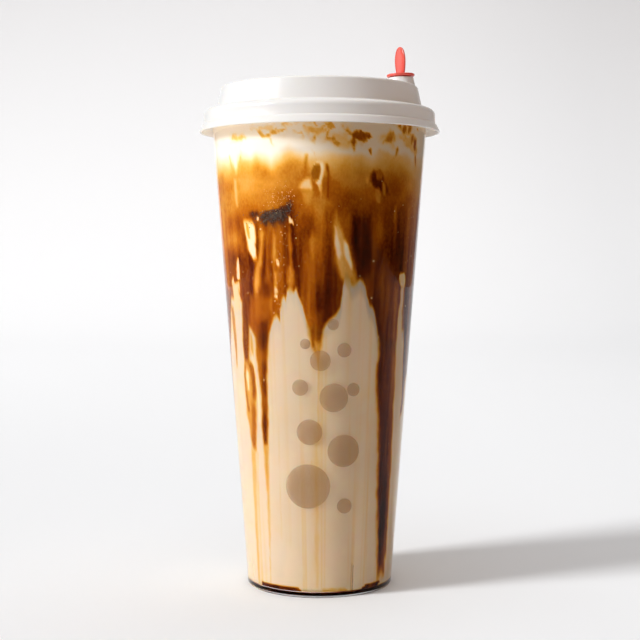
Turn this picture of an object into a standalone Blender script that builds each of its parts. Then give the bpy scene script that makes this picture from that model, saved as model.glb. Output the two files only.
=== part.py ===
"""Bubble tea in a tall clear cup with a press-fit white lid and a red stopper.

The cup stands on z = 0 with its axis on Z. The drinking spout and its stopper
are on the +X side. Run it with: blender --background --python part.py
"""

import math

import bmesh
import bpy
from mathutils import Matrix

MM = 0.001

# Roundness: rings have a vertex on each of the X and Y axes, so opposite sides match.
SEGMENTS = 64
SPOUT_SEGMENTS = 32
MERGE = 1e-6
SHARP_ANGLE = math.radians(35)

# Space kept between two pieces that touch in use.
GAP = 0.3 * MM

# Cup: a straight cone of even wall, a rolled rim and a thin foot ring.
BASE_RADIUS = 29.7 * MM
WALL_TAPER = 0.0743
CUP_WALL = 0.9 * MM
CUP_HEIGHT = 192.8 * MM
RIM_RADIUS = 45.0 * MM
RIM_DEPTH = 1.6 * MM
RIM_ROUND = 0.5 * MM
FLOOR_TOP = 2.0 * MM
FLOOR_ROUND = 1.2 * MM
FOOT_RECESS = 0.7 * MM
FOOT_WIDTH = 2.2 * MM
FOOT_ROUND = 0.5 * MM

# Stacking ribs inside the cup, just above its floor.
RIB_COUNT = 4
RIB_TURN = math.radians(26)
RIB_WIDTH = 0.6 * MM
RIB_DEPTH = 0.8 * MM
RIB_TOP_DEPTH = 0.3 * MM
RIB_TOP = 13.0 * MM
RIB_ROOT = 0.4 * MM

# Drink and the foam that floats on it. Each wave is (count round the cup, size, start angle).
FOAM_BASE = 174.0 * MM
FOAM_TOP = 190.0 * MM
FOAM_WAVES = ((3, 1.7 * MM, 0.7), (5, 1.0 * MM, 2.1), (8, 0.5 * MM, 4.0))
FOAM_RINGS = (0.35, 0.7)

# Lid: a flared skirt, a rounded shoulder and a raised plateau, all of one wall.
LID_WALL = 0.8 * MM
SKIRT_BOTTOM = 184.7 * MM
SKIRT_RADIUS = 49.0 * MM
FLARE_RADIUS = 47.9 * MM
FLARE_TOP = 187.6 * MM
BAND_RADIUS = 47.1 * MM
SHOULDER_TOP = 194.0 * MM
SHOULDER_ROUND = 2.6 * MM
PLATEAU_BASE_RADIUS = 41.8 * MM
PLATEAU_BASE = 195.0 * MM
PLATEAU_RADIUS = 40.2 * MM
PLATEAU_TOP = 203.2 * MM
PLATEAU_ROUND = 1.3 * MM
PANEL_RADIUS = 36.5 * MM
PANEL_DEPTH = 0.5 * MM

# Grip bead inside the skirt, just below the cup's rim.
BEAD_RADIUS = 45.3 * MM
BEAD_HEIGHT = 190.0 * MM
BEAD_SPREAD = 0.9 * MM

# Drinking spout: a short collar near the plateau's edge that leans in slightly.
SPOUT_REACH = 33.3 * MM
SPOUT_LEAN = math.radians(-2.0)
SPOUT_HEIGHT = 4.2 * MM
SPOUT_BASE_RADIUS = 6.1 * MM
SPOUT_TOP_RADIUS = 5.2 * MM
SPOUT_ROUND = 0.3 * MM
SPOUT_ROOT = 0.6 * MM
HOLE_RADIUS = 4.2 * MM
HOLE_REACH = 3.0 * MM

# Stopper: a disc, a hollow plug below it and an upright oval tab above it.
DISC_RADIUS = 5.7 * MM
DISC_THICKNESS = 1.1 * MM
DISC_ROUND = 0.35 * MM
PLUG_DEPTH = 5.8 * MM
PLUG_WALL = 0.8 * MM
PLUG_TAPER = 0.3 * MM
TAB_HEIGHT = 11.0 * MM
TAB_RADIUS = 3.8 * MM
TAB_WAIST = 2.6 * MM
TAB_THICKNESS = 1.2 * MM
TAB_ROUND = 0.3 * MM
TAB_TURN = math.radians(-62)
TAB_STEPS = 10


def outer_radius(height):
    """Radius of the cup's outer wall at a height."""
    return BASE_RADIUS + WALL_TAPER * height


def inner_radius(height):
    """Radius of the cup's inner wall at a height."""
    return outer_radius(height) - CUP_WALL


def foam_wave(angle, share):
    """Rise of the foam's underside above FOAM_BASE; share is 0 on the axis and 1 at the wall."""
    return share * sum(size * math.sin(count * angle + start) for count, size, start in FOAM_WAVES)


def arc(centre, radius, start_deg, stop_deg, steps):
    """Points of an arc in the (radius, height) plane, with both of its ends."""
    angles = [math.radians(start_deg + (stop_deg - start_deg) * i / steps) for i in range(steps + 1)]
    return [(centre[0] + radius * math.cos(a), centre[1] + radius * math.sin(a)) for a in angles]


def offset(line, distance):
    """The line moved sideways to its left by a distance, with mitred corners."""
    moved = []
    for i, (r, z) in enumerate(line):
        normals = []
        for start, stop in zip(line[max(i - 1, 0):i + 1], line[max(i, 1):i + 2]):
            length = math.dist(start, stop)
            normals.append(((start[1] - stop[1]) / length, (stop[0] - start[0]) / length))
        side_r = sum(n[0] for n in normals) / len(normals)
        side_z = sum(n[1] for n in normals) / len(normals)
        mitre = distance / (side_r ** 2 + side_z ** 2)
        moved.append((r + side_r * mitre, z + side_z * mitre))
    return moved


def paint(obj, colour, roughness, transmission=0.0):
    """Gives the object one plain Principled material."""
    material = bpy.data.materials.new(obj.name)
    material.use_nodes = True
    shader = material.node_tree.nodes["Principled BSDF"]
    shader.inputs["Base Color"].default_value = (*colour, 1.0)
    shader.inputs["Roughness"].default_value = roughness
    shader.inputs["Metallic"].default_value = 0.0
    shader.inputs["Transmission Weight"].default_value = transmission
    obj.data.materials.append(material)


def add_object(name, bm):
    """Turns a finished bmesh into a smooth-shaded object in the scene."""
    bmesh.ops.remove_doubles(bm, verts=bm.verts, dist=MERGE)
    bmesh.ops.recalc_face_normals(bm, faces=bm.faces)
    mesh = bpy.data.meshes.new(name)
    bm.to_mesh(mesh)
    bm.free()
    mesh.shade_smooth()
    mesh.set_sharp_from_angle(angle=SHARP_ANGLE)
    obj = bpy.data.objects.new(name, mesh)
    bpy.context.scene.collection.objects.link(obj)
    return obj


def turned(name, outline, segments=SEGMENTS):
    """A solid of revolution about Z. An outline from axis to axis is left open there."""
    bm = bmesh.new()
    verts = [bm.verts.new((r, 0.0, z)) for r, z in outline]
    on_axis = outline[0][0] == 0.0 and outline[-1][0] == 0.0
    following = verts[1:] if on_axis else verts[1:] + verts[:1]
    edges = [bm.edges.new(pair) for pair in zip(verts, following)]
    bmesh.ops.spin(
        bm,
        geom=verts + edges,
        cent=(0.0, 0.0, 0.0),
        axis=(0.0, 0.0, 1.0),
        angle=math.tau,
        steps=segments,
        use_merge=True,
    )
    return add_object(name, bm)


def add_plate(bm, outline, thickness, turn):
    """Adds a flat plate: its outline is in the XZ plane, and it is turned about Z at the end."""
    verts = [bm.verts.new((x, -thickness / 2, z)) for x, z in outline]
    raised = bmesh.ops.extrude_face_region(bm, geom=[bm.faces.new(verts)])["geom"]
    far = [v for v in raised if isinstance(v, bmesh.types.BMVert)]
    bmesh.ops.translate(bm, verts=far, vec=(0.0, thickness, 0.0))
    bmesh.ops.rotate(bm, verts=verts + far, matrix=Matrix.Rotation(turn, 3, "Z"))


def combine(obj, other, operation):
    """Joins another object to this one, or cuts it away, and hides that other object."""
    boolean = obj.modifiers.new(other.name, "BOOLEAN")
    boolean.operation = operation
    boolean.object = other
    other.hide_render = True
    other.display_type = "WIRE"


def rib_plates(name, clearance):
    """The stacking ribs, grown by a clearance where they cut their grooves in the drink."""
    foot = FLOOR_TOP - RIB_ROOT
    top = RIB_TOP + clearance
    outline = [
        (inner_radius(foot) + RIB_ROOT, foot),
        (inner_radius(foot) - RIB_DEPTH - clearance, foot),
        (inner_radius(top) - RIB_TOP_DEPTH - clearance, top),
        (inner_radius(top) + RIB_ROOT, top),
    ]
    bm = bmesh.new()
    for i in range(RIB_COUNT):
        turn = RIB_TURN - math.pi / 2 + i * math.tau / RIB_COUNT
        add_plate(bm, outline, RIB_WIDTH + 2 * clearance, turn)
    return add_object(name, bm)


def make_cup():
    """The clear cup with its foot ring, rolled rim and stacking ribs."""
    lip = CUP_HEIGHT - RIM_DEPTH
    foot_inner = BASE_RADIUS - FOOT_WIDTH
    floor_edge = FLOOR_TOP + FLOOR_ROUND
    outline = [
        (0.0, FOOT_RECESS),
        (foot_inner - FOOT_ROUND, FOOT_RECESS),
        (foot_inner, 0.0),
        (BASE_RADIUS - FOOT_ROUND, 0.0),
        (outer_radius(FOOT_ROUND), FOOT_ROUND),
        (outer_radius(lip), lip),
        (RIM_RADIUS - RIM_ROUND, lip),
        *arc((RIM_RADIUS - RIM_ROUND, CUP_HEIGHT - RIM_DEPTH / 2), RIM_ROUND, -60, 60, 2),
        (RIM_RADIUS - RIM_ROUND, CUP_HEIGHT),
        (inner_radius(CUP_HEIGHT) + RIM_ROUND, CUP_HEIGHT),
        (inner_radius(CUP_HEIGHT), CUP_HEIGHT - RIM_ROUND),
        (inner_radius(floor_edge), floor_edge),
        (inner_radius(FLOOR_TOP) - FLOOR_ROUND, FLOOR_TOP),
        (0.0, FLOOR_TOP),
    ]
    cup = turned("cup", outline)
    combine(cup, rib_plates("stacking_ribs", 0.0), "UNION")
    paint(cup, (0.95, 0.96, 0.96), 0.08, transmission=1.0)
    return cup


def shape_surface(obj, height, rise):
    """Bends the flat rings of a turned solid at a height into the wave where foam meets drink."""
    for vertex in obj.data.vertices:
        x, y, z = vertex.co
        if abs(z - height) < MERGE and math.hypot(x, y) > MERGE:
            share = math.hypot(x, y) / (inner_radius(height) - GAP)
            level = height + foam_wave(math.atan2(y, x), share)
            spread = (inner_radius(level) - GAP) / (inner_radius(height) - GAP)
            vertex.co = (x * spread, y * spread, level + rise)


def surface_line(height):
    """Points from the wall to the axis along the surface where foam meets drink."""
    edge = inner_radius(height) - GAP
    return [(edge, height), *((edge * share, height) for share in reversed(FOAM_RINGS)), (0.0, height)]


def make_milk_tea():
    """The drink, from the cup's floor to the foam, with grooves for the ribs."""
    floor = FLOOR_TOP + GAP
    floor_edge = floor + FLOOR_ROUND
    outline = [
        (0.0, floor),
        (inner_radius(floor) - GAP - FLOOR_ROUND, floor),
        (inner_radius(floor_edge) - GAP, floor_edge),
        *surface_line(FOAM_BASE),
    ]
    drink = turned("milk_tea", outline)
    shape_surface(drink, FOAM_BASE, 0.0)
    combine(drink, rib_plates("rib_grooves", GAP), "DIFFERENCE")
    paint(drink, (0.71, 0.50, 0.29), 0.35)
    return drink


def make_milk_foam():
    """The pale foam that floats on the drink, up to just below the cup's rim."""
    outline = [
        (0.0, FOAM_TOP),
        (inner_radius(FOAM_TOP) - GAP, FOAM_TOP),
        *surface_line(FOAM_BASE),
    ]
    foam = turned("milk_foam", outline)
    shape_surface(foam, FOAM_BASE, GAP)
    paint(foam, (0.90, 0.84, 0.76), 0.5)
    return foam


def lid_line():
    """The lid's outer line, from the skirt's edge up to the axis."""
    shoulder = (BAND_RADIUS - SHOULDER_ROUND, SHOULDER_TOP - SHOULDER_ROUND)
    plateau = (PLATEAU_RADIUS - PLATEAU_ROUND, PLATEAU_TOP - PLATEAU_ROUND)
    flare_middle = (FLARE_RADIUS + 0.3 * (SKIRT_RADIUS - FLARE_RADIUS), (SKIRT_BOTTOM + FLARE_TOP) / 2)
    return [
        (SKIRT_RADIUS, SKIRT_BOTTOM),
        flare_middle,
        (FLARE_RADIUS, FLARE_TOP),
        *arc(shoulder, SHOULDER_ROUND, 0, 82, 4),
        (PLATEAU_BASE_RADIUS + SHOULDER_ROUND / 2, SHOULDER_TOP),
        (PLATEAU_BASE_RADIUS, PLATEAU_BASE),
        *arc(plateau, PLATEAU_ROUND, 10, 90, 3),
        (PANEL_RADIUS, PLATEAU_TOP),
        (PANEL_RADIUS - PANEL_DEPTH, PLATEAU_TOP - PANEL_DEPTH),
        (0.0, PLATEAU_TOP - PANEL_DEPTH),
    ]


def make_lid(spout_place):
    """The white lid with its grip bead and drinking spout."""
    outer = lid_line()
    inner = offset(outer, LID_WALL)
    inner[0] = (SKIRT_RADIUS - LID_WALL, SKIRT_BOTTOM)
    inner[-1] = (0.0, PLATEAU_TOP - PANEL_DEPTH - LID_WALL)
    bead_root = BAND_RADIUS - LID_WALL
    bead = [
        (bead_root, BEAD_HEIGHT - BEAD_SPREAD),
        (BEAD_RADIUS, BEAD_HEIGHT),
        (bead_root, BEAD_HEIGHT + BEAD_SPREAD),
    ]
    flare_points = 3
    outline = list(reversed(outer)) + inner[:flare_points] + bead + inner[flare_points:]
    lid = turned("lid", outline)
    spout_outline = [
        (0.0, SPOUT_HEIGHT),
        (SPOUT_TOP_RADIUS - SPOUT_ROUND, SPOUT_HEIGHT),
        (SPOUT_TOP_RADIUS, SPOUT_HEIGHT - SPOUT_ROUND),
        (SPOUT_BASE_RADIUS, 0.0),
        (SPOUT_BASE_RADIUS, -SPOUT_ROOT),
        (0.0, -SPOUT_ROOT),
    ]
    spout = turned("spout", spout_outline, SPOUT_SEGMENTS)
    hole_outline = [
        (0.0, SPOUT_HEIGHT + HOLE_REACH),
        (HOLE_RADIUS, SPOUT_HEIGHT + HOLE_REACH),
        (HOLE_RADIUS, -HOLE_REACH),
        (0.0, -HOLE_REACH),
    ]
    hole = turned("spout_hole", hole_outline, SPOUT_SEGMENTS)
    spout.parent = spout_place
    hole.parent = spout_place
    combine(lid, spout, "UNION")
    combine(lid, hole, "DIFFERENCE")
    paint(lid, (0.86, 0.86, 0.85), 0.25)
    return lid


def tab_outline():
    """Outline of the oval tab: half an ellipse above, drawn in to a waist at its foot."""
    middle = TAB_HEIGHT * 0.52
    rise = TAB_HEIGHT - middle
    angles = [math.pi * i / TAB_STEPS for i in range(TAB_STEPS + 1)]
    upper = [(TAB_RADIUS * math.cos(a), DISC_THICKNESS + middle + rise * math.sin(a)) for a in angles]
    foot = DISC_THICKNESS / 2
    flank = (TAB_RADIUS + 2 * TAB_WAIST) / 3
    lower = DISC_THICKNESS + middle * 0.35
    return [(TAB_WAIST, foot), (flank, lower), *upper, (-flank, lower), (-TAB_WAIST, foot)]


def make_stopper(spout_place):
    """The red stopper in the spout."""
    plug_radius = HOLE_RADIUS - GAP
    outline = [
        (0.0, DISC_THICKNESS),
        (DISC_RADIUS - DISC_ROUND, DISC_THICKNESS),
        (DISC_RADIUS, DISC_THICKNESS - DISC_ROUND),
        (DISC_RADIUS, DISC_ROUND),
        (DISC_RADIUS - DISC_ROUND, 0.0),
        (plug_radius, 0.0),
        (plug_radius - PLUG_TAPER, -PLUG_DEPTH),
        (plug_radius - PLUG_TAPER - PLUG_WALL, -PLUG_DEPTH),
        (plug_radius - PLUG_WALL, 0.0),
        (0.0, 0.0),
    ]
    stopper = turned("stopper", outline, SPOUT_SEGMENTS)
    bm = bmesh.new()
    add_plate(bm, tab_outline(), TAB_THICKNESS, TAB_TURN)
    tab = add_object("stopper_tab", bm)
    bevel = tab.modifiers.new("rounded_edges", "BEVEL")
    bevel.width = TAB_ROUND
    bevel.segments = 2
    for piece in (stopper, tab):
        piece.parent = spout_place
        piece.location.z = SPOUT_HEIGHT + GAP
    combine(stopper, tab, "UNION")
    paint(stopper, (0.85, 0.05, 0.03), 0.3)
    return stopper


def make_spout_place():
    """The empty that carries the spout and the stopper, leaning towards the lid's middle."""
    place = bpy.data.objects.new("spout_place", None)
    place.location = (SPOUT_REACH, 0.0, PLATEAU_TOP)
    place.rotation_euler.y = SPOUT_LEAN
    bpy.context.scene.collection.objects.link(place)
    return place


def main():
    for obj in list(bpy.data.objects):
        bpy.data.objects.remove(obj)
    make_cup()
    make_milk_tea()
    make_milk_foam()
    spout_place = make_spout_place()
    make_lid(spout_place)
    make_stopper(spout_place)


main()
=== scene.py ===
# %% [markdown]
# # Bubble tea in a clear cup
# The real thing is a tall clear plastic cup of milk tea. Brown sugar syrup was smeared on
# its inner wall first, so amber and dark brown streaks run down behind the plastic. Pale
# milk foam floats on top, and a white lid with a red stopper closes the cup.
#
# The solids of the cup, the drink, the foam, the lid and the stopper come from the packed
# model, which is the fixed frame here. This lesson gives each of them its finish. Most of
# the work is the drink, because nearly all that one sees is the syrup on the wall.

import math

import bmesh
import bpy
import numpy as np
from mathutils import Matrix, Vector


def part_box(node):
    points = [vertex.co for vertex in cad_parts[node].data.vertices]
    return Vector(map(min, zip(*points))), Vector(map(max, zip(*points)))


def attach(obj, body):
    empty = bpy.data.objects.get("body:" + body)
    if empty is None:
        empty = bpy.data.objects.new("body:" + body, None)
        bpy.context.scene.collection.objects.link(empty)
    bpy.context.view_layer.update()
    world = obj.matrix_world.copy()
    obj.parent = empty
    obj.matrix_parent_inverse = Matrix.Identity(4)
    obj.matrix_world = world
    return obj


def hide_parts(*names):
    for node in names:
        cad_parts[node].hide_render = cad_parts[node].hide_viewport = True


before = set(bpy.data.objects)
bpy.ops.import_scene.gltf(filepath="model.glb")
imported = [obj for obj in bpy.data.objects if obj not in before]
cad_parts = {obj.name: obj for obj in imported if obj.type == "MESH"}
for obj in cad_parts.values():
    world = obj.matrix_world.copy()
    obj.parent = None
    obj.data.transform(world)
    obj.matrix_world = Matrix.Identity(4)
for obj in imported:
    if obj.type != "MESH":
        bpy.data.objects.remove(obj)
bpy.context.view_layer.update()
MM = 0.001
scene = bpy.context.scene
scene.view_settings.view_transform = "Standard"
print("nodes:", sorted(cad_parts))


# %% [markdown]
# ## Measuring the frame
# Each piece has to fit the solid that it stands for. The numbers could be typed in again,
# but then they could drift away from the model. So the cone of the cup's wall is measured
# on the solids' own points: one radius at the foot, and one at the top of the foam, which
# keeps 0.3 mm clear of a wall of 0.9 mm.

# %% Measure the cup, the drink and the foam
FOOT_BAND = (0.1 * MM, 1.0 * MM)
FOAM_TO_OUTSIDE = 1.2 * MM
CUP_WALL = 0.9 * MM
FLOOR_TOP = 2.0 * MM
FOAM_BASE = 174.0 * MM


def mesh_points(mesh):
    """All points of a mesh, one row each, in metres."""
    points = np.empty(len(mesh.vertices) * 3)
    mesh.vertices.foreach_get("co", points)
    return points.reshape(-1, 3)


def widest(points, low, high):
    """Largest distance from the axis among the points between two heights, and its height."""
    band = points[(points[:, 2] > low) & (points[:, 2] < high)]
    reach = np.hypot(band[:, 0], band[:, 1])
    return float(reach.max()), float(band[reach.argmax(), 2])


cup_points = mesh_points(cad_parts["cup"].data)
foam_points = mesh_points(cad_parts["milk_foam"].data)
cup_height = float(cup_points[:, 2].max())
foot_radius, foot_level = widest(cup_points, *FOOT_BAND)
neck_radius = float(np.hypot(*foam_points[:, :2].T).max()) + FOAM_TO_OUTSIDE
neck_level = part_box("milk_foam")[1].z
WALL_TAPER = (neck_radius - foot_radius) / (neck_level - foot_level)
BASE_RADIUS = foot_radius - WALL_TAPER * foot_level
FOAM_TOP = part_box("milk_foam")[1].z


def outer_radius(height):
    """Radius of the cup's outer wall at a height."""
    return BASE_RADIUS + WALL_TAPER * height


print(f"wall: base {BASE_RADIUS / MM:.2f} mm, taper {WALL_TAPER:.4f}, height {cup_height / MM:.1f} mm")


# %% [markdown]
# ## The camera
# The photograph was taken from about half a metre away, a little above the middle of the
# cup and tilted down by three degrees. The two ellipses of the lid's skirt and of the foot
# give these numbers. A camera has to come first, because the streaks of syrup are placed
# by where they show in the picture.

# %% Place the camera
PHOTO_SIZE = 640
CAMERA_AWAY = 533.5 * MM
CAMERA_ASIDE = 0.2 * MM
CAMERA_HEIGHT = 136.2 * MM
CAMERA_PITCH = math.radians(2.994)
FOCAL_POINTS = 1295.2
SENSOR_WIDTH = 36.0


def put_in_scene(name, data):
    """A new object at the origin for a mesh, a camera or a lamp."""
    thing = bpy.data.objects.new(name, data)
    scene.collection.objects.link(thing)
    return thing


camera = put_in_scene("camera", bpy.data.cameras.new("camera"))
camera.location = (CAMERA_ASIDE, -CAMERA_AWAY, CAMERA_HEIGHT)
camera.rotation_euler = (math.pi / 2 - CAMERA_PITCH, 0.0, 0.0)
camera.data.sensor_width = SENSOR_WIDTH
camera.data.lens = FOCAL_POINTS * SENSOR_WIDTH / PHOTO_SIZE
camera.data.clip_start = 0.01
scene.camera = camera
print(f"lens {camera.data.lens:.2f} mm")


# %% [markdown]
# A mark on the wall is drawn by the photograph's own points, across and down. This helper
# sends a ray from the camera through such a point and finds where it meets the cup. The
# clear wall bends the ray a little, so the mark lies slightly further round on the drink.

# %% From a point of the photograph to a place on the wall
PLASTIC_IOR = 1.33
TEST_SPOTS = ((319.5, 252), (250, 500), (400, 200))


def wall_spot(across, down):
    """Turn from the front towards +X, and height, of the drink that shows at a photo point."""
    right = (across - PHOTO_SIZE / 2) / FOCAL_POINTS
    up = (PHOTO_SIZE / 2 - down) / FOCAL_POINTS
    along = math.cos(CAMERA_PITCH) + up * math.sin(CAMERA_PITCH)
    rise = up * math.cos(CAMERA_PITCH) - math.sin(CAMERA_PITCH)
    reach = outer_radius(CAMERA_HEIGHT)
    square = right * right + along * along - (WALL_TAPER * rise) ** 2
    linear = CAMERA_ASIDE * right - CAMERA_AWAY * along - WALL_TAPER * rise * reach
    rest = CAMERA_ASIDE ** 2 + CAMERA_AWAY ** 2 - reach ** 2
    distance = (-linear - math.sqrt(max(linear * linear - square * rest, 0.0))) / square
    x = CAMERA_ASIDE + right * distance
    y = -CAMERA_AWAY + along * distance
    height = CAMERA_HEIGHT + rise * distance
    turn = math.atan2(x, -y)
    slant = math.sin(turn)
    bend = CUP_WALL * slant / math.sqrt(PLASTIC_IOR ** 2 - slant ** 2)
    return turn + bend / math.hypot(x, y), height


for spot in TEST_SPOTS:
    turn, height = wall_spot(*spot)
    print(f"photo point {spot}: turn {math.degrees(turn):.1f} degrees, height {height / MM:.1f} mm")


# %% [markdown]
# ## Small tools for node trees
# Every finish below is a tree of shader nodes, and the drink, the ribs, the bubbles and
# the print are Geometry Nodes. Building a tree by hand is wordy, so a few helpers keep it
# short. The first two serve both kinds: one adds a node and fills its sockets, the other
# adds a sum or a product.

# %% Helpers for node trees
def add(tree, kind, sockets=None, **settings):
    """Adds a node. sockets maps an input's name or number to a value or to another socket."""
    node = tree.nodes.new(kind)
    for name, value in settings.items():
        setattr(node, name, value)
    for key, value in (sockets or {}).items():
        if isinstance(value, bpy.types.NodeSocket):
            tree.links.new(value, node.inputs[key])
        else:
            node.inputs[key].default_value = value
    return node


def calc(tree, operation, *values):
    """Adds a Math node on values or sockets and gives its result socket."""
    return add(tree, "ShaderNodeMath", dict(enumerate(values)), operation=operation).outputs[0]


def vector(tree, x=0.0, y=0.0, z=0.0):
    """Joins three numbers or sockets into one vector socket."""
    return add(tree, "ShaderNodeCombineXYZ", {0: x, 1: y, 2: z}).outputs[0]


# %% [markdown]
# The next ones are for Geometry Nodes. A tree starts with named inputs, and it ends by
# making its copies real and giving them their material. Then it is run on an object, and
# the result is kept as a plain mesh, so no modifier is left on the piece.

# %% Helpers for Geometry Nodes
SHARP_ANGLE = math.radians(50)


def new_geometry_tree(name, inputs):
    """A Geometry Nodes tree with named inputs: {name: (socket type, value)}."""
    tree = bpy.data.node_groups.new(name, "GeometryNodeTree")
    tree.interface.new_socket("Geometry", in_out="INPUT", socket_type="NodeSocketGeometry")
    tree.interface.new_socket("Geometry", in_out="OUTPUT", socket_type="NodeSocketGeometry")
    for label, (kind, value) in inputs.items():
        socket = tree.interface.new_socket(label, in_out="INPUT", socket_type=kind)
        if value is not None:
            socket.default_value = value
    start = tree.nodes.new("NodeGroupInput")
    return tree, start.outputs


def close_tree(tree, geometry, material):
    """Ends a tree: instances become real, the faces are smooth and get their material."""
    real = add(tree, "GeometryNodeRealizeInstances", {"Geometry": geometry})
    smooth = add(tree, "GeometryNodeSetShadeSmooth", {"Geometry": real.outputs[0]})
    last = add(tree, "GeometryNodeSetMaterial", {"Geometry": smooth.outputs[0], "Material": material})
    add(tree, "NodeGroupOutput", {"Geometry": last.outputs[0]})


def point_place(tree):
    """The x, y and z of the points that a tree works on."""
    place = add(tree, "GeometryNodeInputPosition").outputs[0]
    return add(tree, "ShaderNodeSeparateXYZ", {0: place}).outputs


def stored(tree, name, kind="FLOAT"):
    """A number or a vector that the points carry."""
    return add(tree, "GeometryNodeInputNamedAttribute", {"Name": name}, data_type=kind).outputs[0]


def round_the_axis(tree, geometry, count, step, first=0.0):
    """Copies of a geometry, turned about the cup's axis by one step after another."""
    spots = add(tree, "GeometryNodeMeshLine", {"Count": count, "Offset": (0.0, 0.0, 0.0)}).outputs[0]
    index = add(tree, "GeometryNodeInputIndex").outputs[0]
    turn = calc(tree, "MULTIPLY_ADD", index, step, first)
    rotation = add(tree, "FunctionNodeEulerToRotation", {0: vector(tree, z=turn)}).outputs[0]
    return add(tree, "GeometryNodeInstanceOnPoints", {
        "Points": spots,
        "Instance": geometry,
        "Rotation": rotation,
    }).outputs[0]


def moved_to(tree, geometry, place):
    """The geometry with its points at a new place."""
    return add(tree, "GeometryNodeSetPosition", {"Geometry": geometry, "Position": place}).outputs[0]


def grow(name, tree, values, seed_mesh=None):
    """Runs a tree on an object and keeps the result as a plain mesh."""
    seed = put_in_scene(name, seed_mesh or bpy.data.meshes.new(name))
    modifier = seed.modifiers.new("grow", "NODES")
    modifier.node_group = tree
    for item in tree.interface.items_tree:
        if item.in_out == "INPUT" and item.name in values:
            modifier[item.identifier] = values[item.name]
    depsgraph = bpy.context.evaluated_depsgraph_get()
    mesh = bpy.data.meshes.new_from_object(seed.evaluated_get(depsgraph), depsgraph=depsgraph)
    bpy.data.objects.remove(seed)
    mesh.name = name
    mesh.set_sharp_from_angle(angle=SHARP_ANGLE)
    mesh.calc_loop_triangles()
    print(f"{name}: {len(mesh.vertices)} points, {len(mesh.loop_triangles)} triangles")
    return put_in_scene(name, mesh)


# %% [markdown]
# The last ones are for finishes. Few real surfaces have one flat colour, so a ramp turns
# noise, or a number that the mesh carries, into a colour. Numbers that are the same all
# over are set on the shader itself.

# %% Helpers for materials
def new_material(name, settings):
    """A node material. settings maps an input of its Principled shader to a value."""
    material = bpy.data.materials.new(name)
    material.use_nodes = True
    shader = material.node_tree.nodes["Principled BSDF"]
    for socket, value in settings.items():
        shader.inputs[socket].default_value = value
    return material, material.node_tree, shader


def ramp(tree, factor, stops):
    """A colour ramp: stops are (place, (red, green, blue)) with linear colours."""
    node = add(tree, "ShaderNodeValToRGB", {"Fac": factor})
    elements = node.color_ramp.elements
    while len(elements) < len(stops):
        elements.new(0.5)
    for element, (place, colour) in zip(elements, stops):
        element.position = place
        element.color = (*colour, 1.0)
    return node.outputs["Color"]


def blend(tree, mode, factor, first, second):
    """Mixes two colours, each a socket or a linear colour."""
    node = add(tree, "ShaderNodeMix", data_type="RGBA", blend_type=mode)
    for key, value in ((0, factor), (6, first), (7, second)):
        if isinstance(value, bpy.types.NodeSocket):
            tree.links.new(value, node.inputs[key])
        else:
            node.inputs[key].default_value = value if key == 0 else (*value, 1.0)
    return node.outputs[2]


def attribute(tree, name):
    """A number stored on the mesh's points."""
    return add(tree, "ShaderNodeAttribute", attribute_name=name).outputs["Fac"]


def grain(tree, scale, stretch=(1.0, 1.0, 1.0), detail=3.0):
    """Noise on the object's own coordinates; a stretch below 1 makes it longer that way."""
    place = add(tree, "ShaderNodeTexCoord").outputs["Object"]
    mapped = add(tree, "ShaderNodeMapping", {"Vector": place, "Scale": stretch}).outputs[0]
    noise = add(tree, "ShaderNodeTexNoise", {"Vector": mapped, "Scale": scale, "Detail": detail})
    return noise.outputs["Fac"]


def mottled(name, scale, tones, settings):
    """A material whose colour drifts between two tones, each (place, (red, green, blue))."""
    material, tree, shader = new_material(name, settings)
    tree.links.new(ramp(tree, grain(tree, scale), tones), shader.inputs["Base Color"])
    print(f"{name}: {len(tree.nodes)} nodes")
    return material


# %% [markdown]
# ## The finish of the drink
# Syrup on the wall works like tinted glass in front of milk: the thicker it is, the more
# blue and green it takes away. So the drink stores one number at each point of its wall,
# the thickness of the syrup, and a ramp turns that number into a tint: clear, pale amber,
# gold, orange brown and nearly black. A second number says how white the milk behind it
# is, from strong tea to cream, and a third where grains of sugar make it gritty. The first
# two also carry painted shade and painted light from side to side across the cup.
#
# Light also travels some way through milk and comes back warmer, so the shader scatters
# light below the surface, with a longer reach for red. The foam takes the same finish with
# a shorter and weaker reach, because its air bubbles turn the light back sooner. A fourth
# number fades the scattering where drink and foam meet.

# %% Material of the drink and the foam
MILKS = (
    (0.00, (0.60, 0.50, 0.385)),
    (0.30, (0.73, 0.565, 0.385)),
    (0.55, (0.88, 0.70, 0.49)),
    (1.00, (0.97, 0.90, 0.80)),
)
SYRUP_TINTS = (
    (0.00, (1.00, 1.00, 1.00)),
    (0.10, (1.00, 0.88, 0.62)),
    (0.22, (1.00, 0.72, 0.27)),
    (0.34, (0.88, 0.51, 0.08)),
    (0.48, (0.64, 0.25, 0.015)),
    (0.62, (0.40, 0.115, 0.006)),
    (0.80, (0.15, 0.025, 0.004)),
    (1.00, (0.035, 0.007, 0.004)),
)
GRIT = (0.036, 0.028, 0.020)
FINE_GRAIN = 1100.0
CLOUD_GRAIN = 60.0
SAND_GRAIN = 1500.0
SYRUP_UNEVEN = 0.34
MILK_UNEVEN = 0.24


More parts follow.
